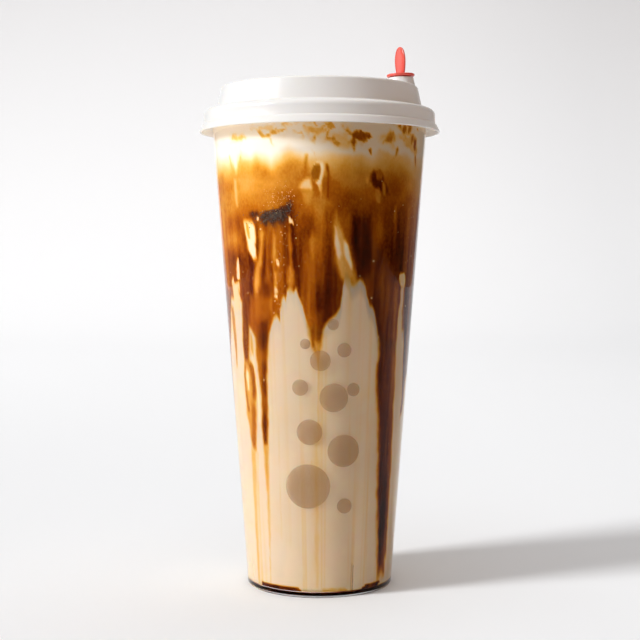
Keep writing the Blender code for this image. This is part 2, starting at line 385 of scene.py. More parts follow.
def drink_material(name, reach, scale, weight):
    """Milk behind syrup. The reach is how far red, green and blue travel inside."""
    material, tree, shader = new_material(name, {
        "Roughness": 0.4,
        "Specular IOR Level": 0.0,
        "Subsurface Radius": reach,
        "Subsurface Scale": scale,
    })
    fine = grain(tree, FINE_GRAIN, stretch=(1.0, 1.0, 0.7))
    cloudy = grain(tree, CLOUD_GRAIN, stretch=(1.0, 1.0, 0.5))
    uneven = calc(tree, "MULTIPLY", calc(tree, "SUBTRACT", fine, 0.5), SYRUP_UNEVEN)
    # the syrup and cream numbers read here hold painted shade and painted light as well as syrup and
    # milk
    syrup = attribute(tree, "syrup")
    thickness = calc(tree, "ADD", syrup, calc(tree, "MULTIPLY", uneven, syrup))
    cream = attribute(tree, "cream")
    cloud = calc(tree, "MULTIPLY_ADD", cloudy, MILK_UNEVEN, -MILK_UNEVEN / 2)
    milk = ramp(tree, calc(tree, "ADD", cream, cloud), MILKS)
    tinted = blend(tree, "MULTIPLY", 1.0, milk, ramp(tree, thickness, SYRUP_TINTS))
    sandy = calc(tree, "MULTIPLY_ADD", grain(tree, SAND_GRAIN, detail=2.0), 1.6, -0.05)
    gritty = calc(tree, "MULTIPLY", attribute(tree, "grit"), calc(tree, "MINIMUM", sandy, 1.0))
    colour = blend(tree, "MIX", gritty, tinted, GRIT)
    tree.links.new(colour, shader.inputs["Base Color"])
    scatter = calc(tree, "MULTIPLY", attribute(tree, "soft"), weight)
    tree.links.new(scatter, shader.inputs["Subsurface Weight"])
    print(f"{name}: {len(tree.nodes)} nodes")
    return material


drink_finish = drink_material("milk_tea_with_syrup", (1.0, 0.5, 0.2), 7.0 * MM, 0.6)
foam_finish = drink_material("milk_foam", (1.0, 0.8, 0.6), 3.0 * MM, 0.2)


# %% [markdown]
# ## The drink and the foam as one kind of body
# Both fill the cup: a tapered, filled layer with a wall, a floor and a top, where the
# border between drink and foam rises and falls in waves. A turned outline would do, but
# the wall needs a fine grid of points to hold the syrup's pattern, finer at the front. The
# shape follows a rule, so Geometry Nodes make it from the Cylinder primitive: each point
# gets a height, a radius from the cup's cone, and a turn that crowds the columns in front.
#
# The body reaches a little into the clear wall, so that no air gap shows between them.

# %% Geometry Nodes for a layer that fills the cup
# Each wave of the border: how often it rises in a turn, how far, and where it starts.
FOAM_WAVES = ((3, 1.7 * MM, 0.7), (5, 1.0 * MM, 2.1), (8, 0.5 * MM, 4.0))
WALL_OVERLAP = 0.15 * MM
FRONT = -math.pi / 2

layer_tree, given = new_geometry_tree("filled_layer", {
    "Columns": ("NodeSocketInt", 400),
    "Rows": ("NodeSocketInt", 200),
    "Rings": ("NodeSocketInt", 8),
    "Low": ("NodeSocketFloat", 0.0),
    "High": ("NodeSocketFloat", 0.1),
    "Low waves": ("NodeSocketFloat", 0.0),
    "High waves": ("NodeSocketFloat", 0.0),
    "Base radius": ("NodeSocketFloat", 0.03),
    "Taper": ("NodeSocketFloat", 0.07),
    "Edge round": ("NodeSocketFloat", 0.001),
    "Crowding": ("NodeSocketFloat", 0.4),
    "Material": ("NodeSocketMaterial", None),
})
t = layer_tree
body = add(t, "GeometryNodeMeshCylinder", {
    "Vertices": given["Columns"],
    "Side Segments": given["Rows"],
    "Fill Segments": given["Rings"],
    "Radius": 1.0,
    "Depth": 1.0,
}, fill_type="TRIANGLE_FAN")
x, y, z = point_place(t)
angle = calc(t, "ARCTAN2", y, x)
from_front = calc(t, "SUBTRACT", angle, FRONT)
crowd = calc(t, "MULTIPLY", calc(t, "SINE", from_front), given["Crowding"])
turned_angle = calc(t, "SUBTRACT", angle, crowd)
wave = 0.0
for count, size, start in FOAM_WAVES:
    swing = calc(t, "SINE", calc(t, "MULTIPLY_ADD", turned_angle, float(count), start))
    wave = calc(t, "MULTIPLY_ADD", swing, size, wave)
reach = calc(t, "SQRT", calc(t, "ADD", calc(t, "MULTIPLY", x, x), calc(t, "MULTIPLY", y, y)))
wave = calc(t, "MULTIPLY", wave, reach)
low = calc(t, "MULTIPLY_ADD", wave, given["Low waves"], given["Low"])
high = calc(t, "MULTIPLY_ADD", wave, given["High waves"], given["High"])
share = calc(t, "ADD", z, 0.5)
height = calc(t, "MULTIPLY_ADD", share, calc(t, "SUBTRACT", high, low), low)
above = calc(t, "SUBTRACT", height, low)
edge = given["Edge round"]
short = calc(t, "MAXIMUM", calc(t, "SUBTRACT", edge, above), 0.0)
square = calc(t, "SUBTRACT", calc(t, "POWER", edge, 2.0), calc(t, "POWER", short, 2.0))
inset = calc(t, "SUBTRACT", edge, calc(t, "SQRT", calc(t, "MAXIMUM", square, 0.0)))
cone = calc(t, "MULTIPLY_ADD", height, given["Taper"], given["Base radius"])
radius = calc(t, "MULTIPLY", reach, calc(t, "SUBTRACT", cone, inset))
on_cone = vector(
    t,
    calc(t, "MULTIPLY", radius, calc(t, "COSINE", turned_angle)),
    calc(t, "MULTIPLY", radius, calc(t, "SINE", turned_angle)),
    height,
)
close_tree(t, moved_to(t, body.outputs["Mesh"], on_cone), given["Material"])

# %% Grow the drink and the foam
DRINK_BASE_RADIUS = BASE_RADIUS - CUP_WALL + WALL_OVERLAP
shared = {
    "Columns": 400,
    "Base radius": DRINK_BASE_RADIUS,
    "Taper": WALL_TAPER,
    "Crowding": 0.42,
    "Material": drink_finish,
}
milk_tea = grow("milk_tea_with_syrup", layer_tree, {
    **shared,
    "Rows": 200,
    "Low": FLOOR_TOP - WALL_OVERLAP,
    "High": FOAM_BASE,
    "High waves": 1.0,
    "Edge round": 1.2 * MM,
})
milk_foam = grow("foam_on_the_tea", layer_tree, {
    **shared,
    "Material": foam_finish,
    "Rows": 26,
    "Low": FOAM_BASE,
    "High": FOAM_TOP,
    "Low waves": 1.0,
    "Edge round": 0.0,
})


# %% [markdown]
# ## Painting the syrup
# Syrup that was smeared on a wall has three looks. High up it lies in a wide amber sheet,
# the sheet ends in a ragged lower edge, and below it narrow drips run down to the floor,
# pale gold at their edges and dark in the middle. Milk shows in the gaps.
#
# A picture could be wrapped round the cup, but this script uses none. Instead the pattern
# is worked out at each point of the wall. A mark is drawn by its left and right edge in a
# few rows of the photograph. The distance inward from its edge then says how thick the
# syrup is, so each drip gets its gold rim by itself. The back, which the photograph
# doesn't show, gets drips of the same kind from a seeded draw.

# %% Soft steps and smooth noise
LATTICE_ROWS = 512
LATTICE_START = 100.0


def ease(value, low, high):
    """Goes smoothly from 0 at low to 1 at high."""
    share = np.clip((value - low) / (high - low), 0.0, 1.0)
    return share * share * (3.0 - 2.0 * share)


def ripple(turn, height, across, along, seed, octaves=3):
    """Smooth noise from -1 to 1 that closes round the cup, with its cells counted across
    and sized along."""
    total = np.zeros_like(turn)
    size = 1.0
    for octave in range(octaves):
        cells = int(across * 2 ** octave)
        lattice = np.random.default_rng(seed + octave).uniform(-1.0, 1.0, (cells, LATTICE_ROWS))
        u = (turn / math.tau + 0.5) * cells
        v = height / (along / 2 ** octave) + LATTICE_START
        column, row = np.floor(u).astype(int), np.floor(v).astype(int)
        share_u, share_v = ease(u - column, 0.0, 1.0), ease(v - row, 0.0, 1.0)
        value = 0.0
        for step_u, weight_u in ((0, 1.0 - share_u), (1, share_u)):
            for step_v, weight_v in ((0, 1.0 - share_v), (1, share_v)):
                corner = lattice[(column + step_u) % cells, (row + step_v) % LATTICE_ROWS]
                value = value + weight_u * weight_v * corner
        total += size * value
        size *= 0.5
    return total / 1.75


# %% The wall that is painted
CRISP_FRAY = 1.5
GRIT_FRAY = 3.5


class Wall:
    """The points of a body's wall, with the numbers that are painted on them."""

    def __init__(self, piece):
        self.mesh = piece.data
        x, y, z = mesh_points(self.mesh).T
        self.turn = np.arctan2(x, -y)
        self.height = z
        self.radius = np.hypot(x, y)
        wild = 1.0 + 3.0 * ease(z, FOAM_BASE - 6.0 * MM, FOAM_BASE + 4.0 * MM)
        sway = ripple(self.turn, z, 60, 5.0 * MM, 11) * 0.24
        sway += ripple(self.turn, z, 160, 2.0 * MM, 17) * 0.14
        lift = ripple(self.turn, z, 60, 5.0 * MM, 23) * 0.4
        self.drawn_turn = self.turn + wild * sway * MM / outer_radius(z)
        self.drawn_height = z + wild * lift * MM
        self.fray = ripple(self.turn, z, 150, 4.0 * MM, 29) * 0.35 * MM * wild
        gaps = ease(ripple(self.drawn_turn, self.drawn_height, 90, 2.2 * MM, 67), -0.05, 0.45)
        self.feather = 1.0 - 0.75 * gaps * ease(z, FOAM_BASE - 2.0 * MM, FOAM_BASE + 3.0 * MM)
        self.syrup = np.zeros_like(z)
        self.cream = np.zeros_like(z)
        self.grit = np.zeros_like(z)

    def depth(self, left, right):
        """How far inside a mark each point is, in metres. left and right are (turns, heights)."""
        z = self.drawn_height
        sides = []
        for turns, heights in (left, right):
            order = np.argsort(heights)
            sides.append(np.interp(z, np.array(heights)[order], np.array(turns)[order]))
        low, high = min(*left[1], *right[1]), max(*left[1], *right[1])
        inward = np.minimum(self.drawn_turn - sides[0], sides[1] - self.drawn_turn) * self.radius
        slope = min(1.0, max(0.35, 7.0 * MM / (high - low)))
        return np.minimum(inward, np.minimum(z - low, high - z) * slope)

    def lay(self, left, right, level, edge, cream=None, grit=None):
        """Brings the syrup inside a mark to a level, over a soft edge."""
        fray = self.fray * (min(edge / MM, CRISP_FRAY) if grit is None else GRIT_FRAY)
        cover = ease(self.depth(left, right) + fray, -0.2 * edge, 1.3 * edge)
        cover *= self.feather
        self.syrup += (level - self.syrup) * cover
        if cream is not None:
            self.cream += (cream - self.cream) * cover
        if grit is not None:
            self.grit += (grit - self.grit) * cover

    def store(self):
        """Keeps the painted numbers on the mesh."""
        threads = ripple(self.drawn_turn, self.height, 90, 30.0 * MM, 73)
        self.syrup *= 1.0 + 0.35 * threads * ease(FOAM_BASE - self.height, 14.0 * MM, 30.0 * MM)
        seam = np.abs(self.height - FOAM_BASE)
        in_drink = ease(seam, 4.0 * MM, 11.0 * MM)
        self.soft = np.where(self.height < FOAM_BASE, in_drink, ease(seam, 0.0, 2.5 * MM))
        for name in ("syrup", "cream", "grit", "soft"):
            values = np.clip(getattr(self, name), 0.0, 1.0).astype(np.float32)
            self.mesh.attributes.new(name, "FLOAT", "POINT").data.foreach_set("value", values)


# %% Lines of the photograph on the wall
def photo_sides(rows):
    """The two sides of a mark whose rows are (down, left, right) in photo points."""
    left = [wall_spot(start, down) for down, start, _ in rows]
    right = [wall_spot(stop, down) for down, _, stop in rows]
    return tuple(zip(*left)), tuple(zip(*right))


def photo_line(points, turn):
    """Height at each turn of a line through photo points (across, down), from left to right."""
    spots = [wall_spot(across, down) for across, down in points]
    return np.interp(turn, [spot[0] for spot in spots], [spot[1] for spot in spots])


# %% [markdown]
# The sheet comes first. Its upper border is where the foam ends, its lower border is the
# ragged line from which the drips hang. Both were read off the photograph for the front
# and wander by noise at the back. The sheet is thin and golden high up, grows thicker
# downwards and fades more softly into the foam on the left than on the right. Towards the
# right it is also painted darker, partly as painted shade of the cup's shaded side, and
# the milk and the foam get painted shade and light from side to side as well.

# %% Lay the sheet of syrup
FOAM_LINE = (
    (216, 151), (228, 153), (241, 147), (250, 150), (257, 145), (265, 148), (271, 153), (280, 146),
    (290, 141), (300, 145), (306, 149), (315, 147), (330, 146), (340, 148), (352, 150), (362, 148),
    (372, 152), (380, 146), (390, 149), (400, 151), (412, 153), (424, 151),
)
SHEET_END = (
    (218, 298), (231, 300), (243, 304), (248, 326), (253, 335), (262, 338), (268, 336), (271, 330),
    (274, 321), (277, 319), (279.5, 324), (281.5, 303), (284, 299), (286, 303), (287.5, 294),
    (290.5, 290), (294, 296), (296, 291), (298, 297), (302, 308), (306, 322), (310, 331), (314, 326),
    (320, 334), (326, 327), (331, 322), (336, 317), (340, 310), (342, 298), (343.5, 284), (345, 277.5),
    (347, 276.5), (349.5, 281), (350.5, 287), (353, 289), (357.5, 285), (360, 282), (363, 284),
    (365.5, 290), (367, 300), (369.5, 309), (372, 309.5), (374.5, 316), (376, 325), (378, 340),
    (396, 345), (404, 330), (414, 300),
)
SEEN_HALF = math.radians(76)
SEEN_FADE = math.radians(12)
BACK_FOAM_WANDER = 2.2 * MM
BACK_SHEET_END = 108.0


def seen(wall):
    """1 on the front that the photograph shows, 0 at the back, with a soft change between."""
    return 1.0 - ease(np.abs(wall.turn), SEEN_HALF, SEEN_HALF + SEEN_FADE)


def lay_sheet(wall):
    """Paints the foam, the milk and the wide sheet of syrup."""
    turn, z = wall.turn, wall.drawn_height
    front = seen(wall)
    # the borders: where the foam ends and where the sheet ends
    wander = ripple(turn, z * 0.0, 14, 1.0, 31)
    foam_line = FOAM_BASE + BACK_FOAM_WANDER * wander
    foam_line = foam_line + (photo_line(FOAM_LINE, wall.drawn_turn) - foam_line) * front
    comb = ripple(turn, z * 0.0, 40, 1.0, 37, octaves=2)
    sheet_end = (BACK_SHEET_END + 14.0 * wander + 9.0 * comb) * MM
    sheet_end = sheet_end + (photo_line(SHEET_END, wall.drawn_turn) - sheet_end) * front
    # the sheet: aside goes from 0 on the left to 1 on the right, and the level rises with it,
    # partly thicker syrup and partly painted shade of the cup's shaded right side
    aside = ease(np.sin(turn), -0.57, 0.57)
    fade = 3.0 * MM + 6.0 * MM * (1.0 - aside)
    below_foam = foam_line - z
    level = 0.18 + 0.04 * aside + 0.04 * ease(np.sin(turn), -0.75, -0.25)
    level += (0.22 + 0.06 * aside) * ease(below_foam, 0.0, 16.0 * MM)
    level += (0.16 - 0.04 * aside) * ease(below_foam, 16.0 * MM, 45.0 * MM)
    # painted reflection: the syrup is made thinner at the far right edge, for the pale haze that the
    # wall reflects there
    level -= 0.17 * ease(np.sin(turn), 0.76, 0.96) * front
    streaky = ripple(wall.drawn_turn, z, 30, 50.0 * MM, 41, octaves=2)
    patchy = ripple(wall.drawn_turn, z, 24, 9.0 * MM, 47)
    deep = ease(below_foam, 12.0 * MM, 36.0 * MM)
    level += deep * (0.08 + 0.04 * aside + 0.24 * streaky) + (1.0 - 0.6 * deep) * 0.20 * patchy
    sheet = ease(below_foam, 0.0, fade) * ease(z - sheet_end, -0.4 * MM, 3.0 * MM)
    # on the right just under the foam the syrup is made thinner and the milk greyer
    hazy = aside * (1.0 - ease(below_foam, 2.0 * MM, 12.0 * MM))
    level -= 0.10 * hazy
    wall.cream += (0.40 - 0.34 * hazy - wall.cream) * sheet
    wall.syrup += (level - wall.syrup) * sheet
    # the foam, with faint stains and thin threads of syrup; towards the right the stains grow
    # and the foam is made less creamy, which is painted shade of its shaded right side
    wisp = ripple(wall.drawn_turn, z, 30, 5.0 * MM, 61, octaves=4)
    stain = 0.03 * aside + (0.04 + 0.20 * aside) * ease(wisp, 0.12, 0.6)
    in_foam = ease(-below_foam, -1.0 * MM, 2.0 * MM)
    vein = 1.0 - np.abs(ripple(wall.drawn_turn, z, 34, 6.0 * MM, 71, octaves=4)) / 0.16
    here = ease(ripple(turn, z, 22, 9.0 * MM, 79, octaves=2), -0.15, 0.35)
    here *= ease(-below_foam, 1.5 * MM, 5.0 * MM)
    stain += (0.16 + 0.30 * aside) * ease(vein, 0.0, 0.9) * here
    wall.syrup += (stain - wall.syrup) * in_foam
    wall.cream += (1.0 - 0.30 * aside - wall.cream) * ease(-below_foam, -12.0 * MM, 0.0)
    # the bare milk below the sheet, under a thin film, painted darker on the lit left and paler
    # towards the shaded right as painted shade and light, and the dregs on the floor, partly painted
    # shade
    trace = ripple(turn, z * 0.25, 130, 40.0 * MM, 53, octaves=2)
    film = 0.10 * ease(trace, 0.05, 0.8) + 0.03 * ease(patchy, 0.0, 1.0)
    wall.syrup = np.maximum(wall.syrup, film * ease(sheet_end - z, 0.0, 3.0 * MM))
    wall.cream += (0.12 + 0.40 * aside - wall.cream) * ease(sheet_end - z, 0.0, 6.0 * MM)
    # the dark band at the floor is partly settled syrup and partly painted shade for the dark line along
    # the cup's thick base
    settled = 1.0 - ease(wall.height, FLOOR_TOP + 0.2 * MM, FLOOR_TOP + 0.8 * MM)
    wall.syrup += (0.9 - wall.syrup) * settled


# %% [markdown]
# Now the marks that show best, each by its two edges. Level 0 is bare milk, 0.3 is gold,
# 0.6 is brown and 0.9 is nearly black. The edge is how far in, in millimetres, a mark
# reaches its level: short for a crisp white streak, long for a soft cloud.

# %% Marks on the front of the wall
# Each mark: level, edge in mm, cream, and rows of (down, left, right) in photo points.
MARKS = (
    # the foam's tongue on the left and the stains just under the lid
    (0.03, 2.0, 1.0, ((139, 222, 246), (150, 227.5, 243), (161, 231, 240), (169, 233.5, 238.5),
        (176, 235.5, 237))),
    (0.34, 0.6, None, ((147, 240, 241.6), (156, 240, 241.8), (166, 238.6, 240.2), (176, 236.8, 238.2),
        (200, 236, 238))),
    (0.32, 0.6, None, ((156, 228.6, 229.8), (166, 230.4, 231.8), (176, 233.6, 235), (190, 234, 235.4))),
    (0.16, 0.9, None, ((178, 233.4, 237), (190, 234, 238), (208, 236, 239))),
    (0.28, 1.3, None, ((133, 232, 244), (137, 232, 249), (140, 236, 244))),
    (0.34, 0.7, None, ((131, 256, 262), (134.5, 258, 269), (137, 262, 266))),
    (0.38, 0.7, None, ((128, 281, 286), (131, 270, 286), (134, 271, 276))),
    (0.30, 1.6, None, ((120, 302, 324), (128, 303, 328), (134, 303, 320), (141, 306, 316))),
    (0.42, 1.5, None, ((134, 303, 319), (138, 305, 316), (142, 309, 314))),
    (0.42, 1.2, None, ((123, 317, 322), (129, 321, 328), (134, 325, 330), (139, 327, 331))),
    (0.42, 1.3, None, ((137, 329, 334), (141, 331, 338), (144, 334, 345), (146, 341, 344))),
    (0.64, 1.9, None, ((127, 344, 350), (132, 345, 372), (136, 348, 374), (140, 351, 367),
        (143, 353, 358))),
    (0.12, 0.6, 0.7, ((137, 357, 360), (141, 355, 365), (145, 356, 363))),
    (0.60, 1.2, None, ((139, 350, 359), (146, 352.5, 356.5), (151, 354, 356.5))),
    (0.54, 1.8, None, ((123, 392, 413), (127, 394, 414), (132, 400, 412), (138, 402, 409),
        (142, 404, 407))),
    (0.50, 1.6, None, ((130, 390, 395), (137, 387, 395), (142, 382, 395), (146, 380, 384))),
    (0.62, 1.4, None, ((134, 410, 418), (142, 411, 417), (150, 413, 416.5), (168, 415, 416.5))),
    (0.55, 0.6, None, ((147, 368, 373), (151, 369, 373), (155, 371, 373.5))),
    (0.46, 1.1, None, ((148, 396, 401), (155, 393, 397), (162, 389, 391.5))),
    # ovals, lumps and spots in the amber
    (0.50, 1.6, None, ((150, 305, 310), (160, 303, 309), (172, 301, 309), (180, 303, 307))),
    (0.10, 0.8, 0.9, ((159, 318, 323), (163, 314, 324.8), (168, 312, 325.4), (174, 311, 324.6),
        (180, 313, 323), (186, 317, 322), (193, 318.5, 321.5))),
    (0.50, 0.5, 0.0, ((163, 315.5, 320.5), (167, 312.3, 321.8), (172, 310.6, 321.4), (177, 311.6, 320),
        (181, 314, 317.5))),
    (0.66, 0.8, None, ((161, 325.5, 328), (166, 325, 330), (176, 326, 330.5), (200, 326, 330))),
    (0.10, 1.5, 0.6, ((176.5, 306, 312), (182, 300, 313), (187, 297.5, 314), (191, 299, 313.5))),
    (0.34, 1.0, None, ((190, 299, 316), (198, 302, 313), (205, 305.5, 309))),
    (0.32, 0.8, None, ((184, 318, 322.5), (193, 319, 323), (202, 320, 322))),
    (0.12, 0.5, 0.7, ((148, 309.5, 313), (152, 313, 317), (156, 314, 317))),
    (0.82, 1.3, None, ((168, 374, 380), (174, 370, 384), (181, 369.5, 386), (187, 372, 388),
        (196, 382, 391))),
    (0.52, 0.5, None, ((169, 376, 381.5), (174, 375.5, 383.5), (180, 376.5, 382.5))),
    (0.42, 0.8, None, ((180, 381.5, 385), (187, 381, 386.5), (196, 382, 386))),
    (0.40, 0.9, None, ((187, 374.5, 380), (195, 374, 382), (204, 375, 381))),
    (0.34, 0.5, 0.6, ((177, 366, 369), (180, 365, 369.5), (184, 366, 368.5))),
    # the dark lump with its white ends, and the white streak under it
    (0.03, 1.0, 0.75, ((218, 243, 250.5), (222, 242.5, 254), (229, 243.5, 256.5), (238, 245.5, 257),
        (245, 246.5, 256), (250, 247.5, 257.5), (257, 251, 258), (263, 254, 256))),
    (0.34, 0.45, None, ((223, 245.5, 248), (228, 245.5, 249.4), (234, 246.5, 250),
        (240, 248.5, 250.4))),
    (0.33, 1.7, None, ((220, 259, 260), (232, 257, 266), (250, 257.5, 265), (266, 254, 264),
        (284, 252, 262), (304, 254, 256))),
    (0.55, 1.2, None, ((230, 264, 270), (250, 264.5, 270), (270, 264, 271), (288, 262, 272))),
    (0.41, 1.3, None, ((226, 273, 274), (240, 271, 277.5), (256, 270.5, 277.5), (274, 273, 275))),
    (0.68, 1.8, None, ((214, 282, 283), (232, 278, 287), (256, 278, 289), (280, 278.5, 287),
        (306, 279, 282))),
    (0.41, 1.3, None, ((212, 289, 290), (230, 286.5, 293), (250, 287, 293.5), (268, 289, 291))),
    (0.40, 1.3, None, ((254, 289, 291), (270, 286, 295.5), (282, 285, 296), (294, 289, 294))),
    (0.48, 0.9, None, ((270, 272.5, 278), (282, 272.5, 279), (290, 273, 278))),
    # milk streaks right of the middle, with near black syrup beside them
    (0.92, 2.4, None, ((206, 352, 372), (222, 349, 374), (240, 349, 374), (258, 352, 374),
        (274, 355, 372), (284, 362, 372))),
    (0.80, 2.2, None, ((205, 322, 336), (225, 322, 335), (245, 323, 334), (262, 322, 333),
        (276, 324, 334))),
    (0.29, 1.8, None, ((208, 336, 337), (224, 333, 341), (244, 332, 350), (262, 333, 355),
        (276, 338, 358), (290, 348, 359))),
    (0.04, 0.9, 0.6, ((225, 334, 336.5), (236, 333.6, 338.5), (246, 333.8, 341.5), (254, 335, 342),
        (261, 338, 340.5))),
    (0.06, 0.9, 0.8, ((239, 342.5, 345.5), (246, 342, 349.5), (254, 343, 351.5), (264, 347, 353.5),
        (271, 351, 354))),
    (0.46, 1.4, None, ((226, 312, 313), (239, 307, 318), (250, 308, 318.5), (266, 313, 315))),
    (0.44, 0.8, None, ((205, 394, 397), (214, 393, 397), (224, 392, 395.5))),
    (0.84, 1.8, None, ((206, 397, 400), (222, 395, 401), (250, 395, 402), (268, 395, 402),
        (286, 395, 401))),
    (0.12, 0.4, 0.8, ((272, 400, 404), (276, 398.8, 405.5), (283, 399, 405.4), (287, 400.5, 404.5))),
    # the drips on the left
    (0.42, 3.0, None, ((222, 219, 244), (240, 221, 245), (258, 224, 246))),
    # this dark drip along the cup's left side is partly syrup and partly painted shade of the wall's
    # dark edge
    (0.70, 0.9, None, ((286, 219, 232), (300, 222, 231.5), (322, 226, 231.5), (345, 229, 231.3),
        (380, 232, 233.3), (430, 236, 236.6))),
    (0.42, 0.8, None, ((303, 230.6, 233.4), (318, 231.8, 235.2), (339, 234, 237), (352, 235.4, 237.6),
        (368, 236.8, 238))),
    (0.70, 1.2, None, ((262, 240, 251), (290, 240.8, 250.8), (322, 241.6, 250.6), (340, 242.3, 250.2),
        (352, 243.4, 249.8), (362, 244.2, 250), (368, 245, 249.6))),
    (0.30, 1.1, None, ((358, 244, 249), (366, 243.4, 255), (378, 243.8, 257.6), (398, 245.6, 257.8),
        (414, 246.4, 258), (424, 248.6, 257.6), (436, 250, 257), (452, 251.6, 257))),
    (0.60, 1.2, None, ((360, 246, 251), (368, 249, 254.6), (380, 250.6, 257), (394, 251.6, 257.6),
        (402, 252, 256.4))),
    (0.46, 1.1, None, ((400, 250.5, 256.4), (414, 251, 257.4), (424, 252, 257.2), (440, 251, 256.6),
        (454, 254, 256.6))),
    (0.48, 0.6, None, ((362, 244, 246.4), (376, 243.8, 246), (388, 244.8, 247), (402, 246.2, 249.2),
        (414, 248.4, 251.4))),
    (0.55, 1.1, None, ((292, 249.5, 274), (312, 249.5, 272.4), (330, 252, 271.4), (339, 254.2, 270),
        (352, 255.2, 269.4), (366, 256.8, 268.6), (380, 258.4, 268.6), (396, 260.4, 268.8),
        (412, 260.8, 269.6), (425, 260.8, 270.2), (438, 261.8, 269.8), (450, 264, 269))),
    (0.70, 1.5, None, ((318, 253, 269), (334, 255, 269), (345, 257, 267.6), (354, 260, 265.5))),
    (0.72, 1.4, None, ((358, 261.5, 266), (368, 260.4, 267), (380, 260.8, 267.2), (392, 262.6, 267.4),
        (399, 264, 266.4))),
    (0.74, 1.4, None, ((410, 263, 267), (416, 262, 268.4), (426, 262, 268.6), (436, 262.8, 268),
        (444, 264.4, 267))),
    (0.30, 0.8, None, ((331, 249.8, 252), (340, 250, 253.5), (350, 250, 254.5), (357, 250.5, 254.5))),
    (0.04, 0.5, 0.5, ((349, 250.2, 251.8), (360, 252.2, 254.2), (378, 255, 256.8), (396, 257.2, 259.4),
        (410, 258, 260.4), (424, 258.2, 260.8))),
    (0.05, 0.5, 0.5, ((369, 246.2, 248), (376, 245.8, 249.4), (384, 247, 249.6), (392, 248, 250))),
    (0.26, 0.9, None, ((444, 262.6, 269.8), (475, 264.6, 270), (500, 266.6, 270.4), (545, 269, 271.2),
        (586, 270, 271.8))),
    (0.20, 0.7, None, ((448, 251, 256), (480, 252.6, 257), (515, 254.5, 258), (560, 257, 260),
        (588, 258.6, 261))),
    (0.14, 0.6, None, ((452, 257, 258.6), (500, 258.4, 260), (550, 260.6, 262), (588, 262, 263.4))),
    (0.09, 0.8, None, ((415, 277.6, 279.6), (462, 278.6, 280.4), (540, 281, 282.4))),
    # the tongue and the thread in the middle
    (0.64, 1.5, None, ((306, 303, 327), (326, 306, 325.4), (336, 307.2, 324.6), (344, 309.4, 323.2),
        (352, 312.6, 321.4), (360, 315.4, 319.8))),
    (0.36, 0.8, None, ((340, 313.6, 321.6), (354, 315, 321), (368, 316.6, 320.2), (380, 317.4, 319.4))),
    (0.22, 0.8, None, ((372, 316.8, 320), (420, 316.6, 319.8), (446, 317, 319.6))),
    (0.14, 1.6, None, ((428, 312.6, 320.4), (470, 312, 321), (520, 312, 321), (560, 312.6, 320.6),
        (592, 315, 319.4))),
    (0.18, 0.5, None, ((460, 311.2, 312.6), (478, 311.2, 312.6))),
    (0.10, 0.8, None, ((400, 348.6, 350.8), (455, 348.4, 350.6), (530, 347.6, 349.6),
        (586, 347, 348.6))),
    (0.09, 0.8, None, ((420, 367.4, 369.4), (500, 366.4, 368.2), (582, 365, 366.6))),
    # the long dark drip on the right, the pale strip beside it and the right edge
    (0.84, 2.2, None, ((300, 374, 397), (318, 374.6, 396), (345, 377.2, 396.4), (372, 374.8, 395.6),
        (392, 374.2, 394.6), (410, 375.4, 394.2), (430, 376, 393.2), (460, 376, 391.6), (490, 375, 390),
        (520, 375, 387.6), (556, 375.2, 385.8), (580, 376, 384))),
    (0.60, 1.6, None, ((280, 394, 401), (300, 391.6, 400), (345, 391, 397), (400, 389, 394.6),
        (470, 385.6, 391.4), (560, 382.4, 386.4))),
    (0.06, 0.7, 0.4, ((283, 400.6, 404.6), (300, 400, 403.6), (311, 398, 402.4), (330, 396.6, 402.2),
        (346, 396, 402.6), (372, 395.6, 402.2), (400, 394.6, 401.2), (440, 393.6, 400),
        (500, 390.6, 397.4), (570, 386, 392.6))),
    (0.78, 1.2, None, ((284, 405, 416), (300, 404.2, 415), (320, 403, 412.4), (346, 402.8, 409.8),
        (362, 402.2, 408), (382, 401.6, 405), (402, 400.6, 403.4), (418, 399.2, 401.2))),
    (0.50, 0.6, None, ((346, 409, 411.6), (382, 407.4, 409.4), (430, 404.6, 406.6), (500, 400.6, 402.4),
        (560, 396, 397.6))),
    # a pale swirl of milk and the dregs of syrup along the floor
    (0.00, 2.2, 0.24, ((536, 288, 292), (552, 283, 301), (572, 281, 307), (588, 285, 300))),
    (0.85, 0.5, None, ((581, 262, 264), (585, 262, 284), (588.5, 266, 299), (592, 282, 302))),
    (0.90, 0.5, None, ((582, 372, 380), (586, 364, 377), (590, 360, 371))),
    (0.30, 0.5, None, ((589, 322, 346), (591.4, 322, 350))),
)
# The dark grainy lump: rows as above. It is the only mark with grit.
GRIT_MARKS = (
    ((204, 287, 291), (208, 278, 291), (212, 262, 290), (217, 256, 290), (222, 259, 288),
        (228, 268, 283)),
    ((210, 251, 258), (215, 248, 262), (220, 251, 260)),
    ((198, 291, 294), (205, 286, 292), (212, 284, 290)),
)
LUMPS = (
    (0.02, 0.3, 0.8, ((215, 257.5, 260), (218, 256, 260.4), (221, 256.4, 259.4))),
    (0.04, 0.35, 0.6, ((216, 288.5, 290.5), (219, 288, 292.4), (222, 286.4, 293.6), (224.4, 290, 294))),
    (0.02, 0.4, 0.5, ((259, 236.6, 238.4), (264, 236.4, 239.4), (272, 236.8, 239.4),
        (280, 236.8, 239.6))),
    (0.02, 0.4, 0.5, ((275, 232.6, 234.2), (279, 232.3, 234.6), (283, 232.6, 234.6))),
    (0.06, 0.6, 0.3, ((279, 232.6, 239.4), (288, 232.8, 240.2), (300, 233.6, 240.8),
        (312, 234.2, 241.2))),
    (0.07, 0.5, 0.35, ((287, 275, 277.6), (290, 273.2, 278.4), (293, 273.8, 278.4))),
    (0.06, 0.4, 0.8, ((294, 274, 277), (297, 274, 277))),
    (0.10, 0.5, 0.7, ((260, 276.4, 278.6), (263, 276, 279.8), (266, 277.6, 279.6))),
)


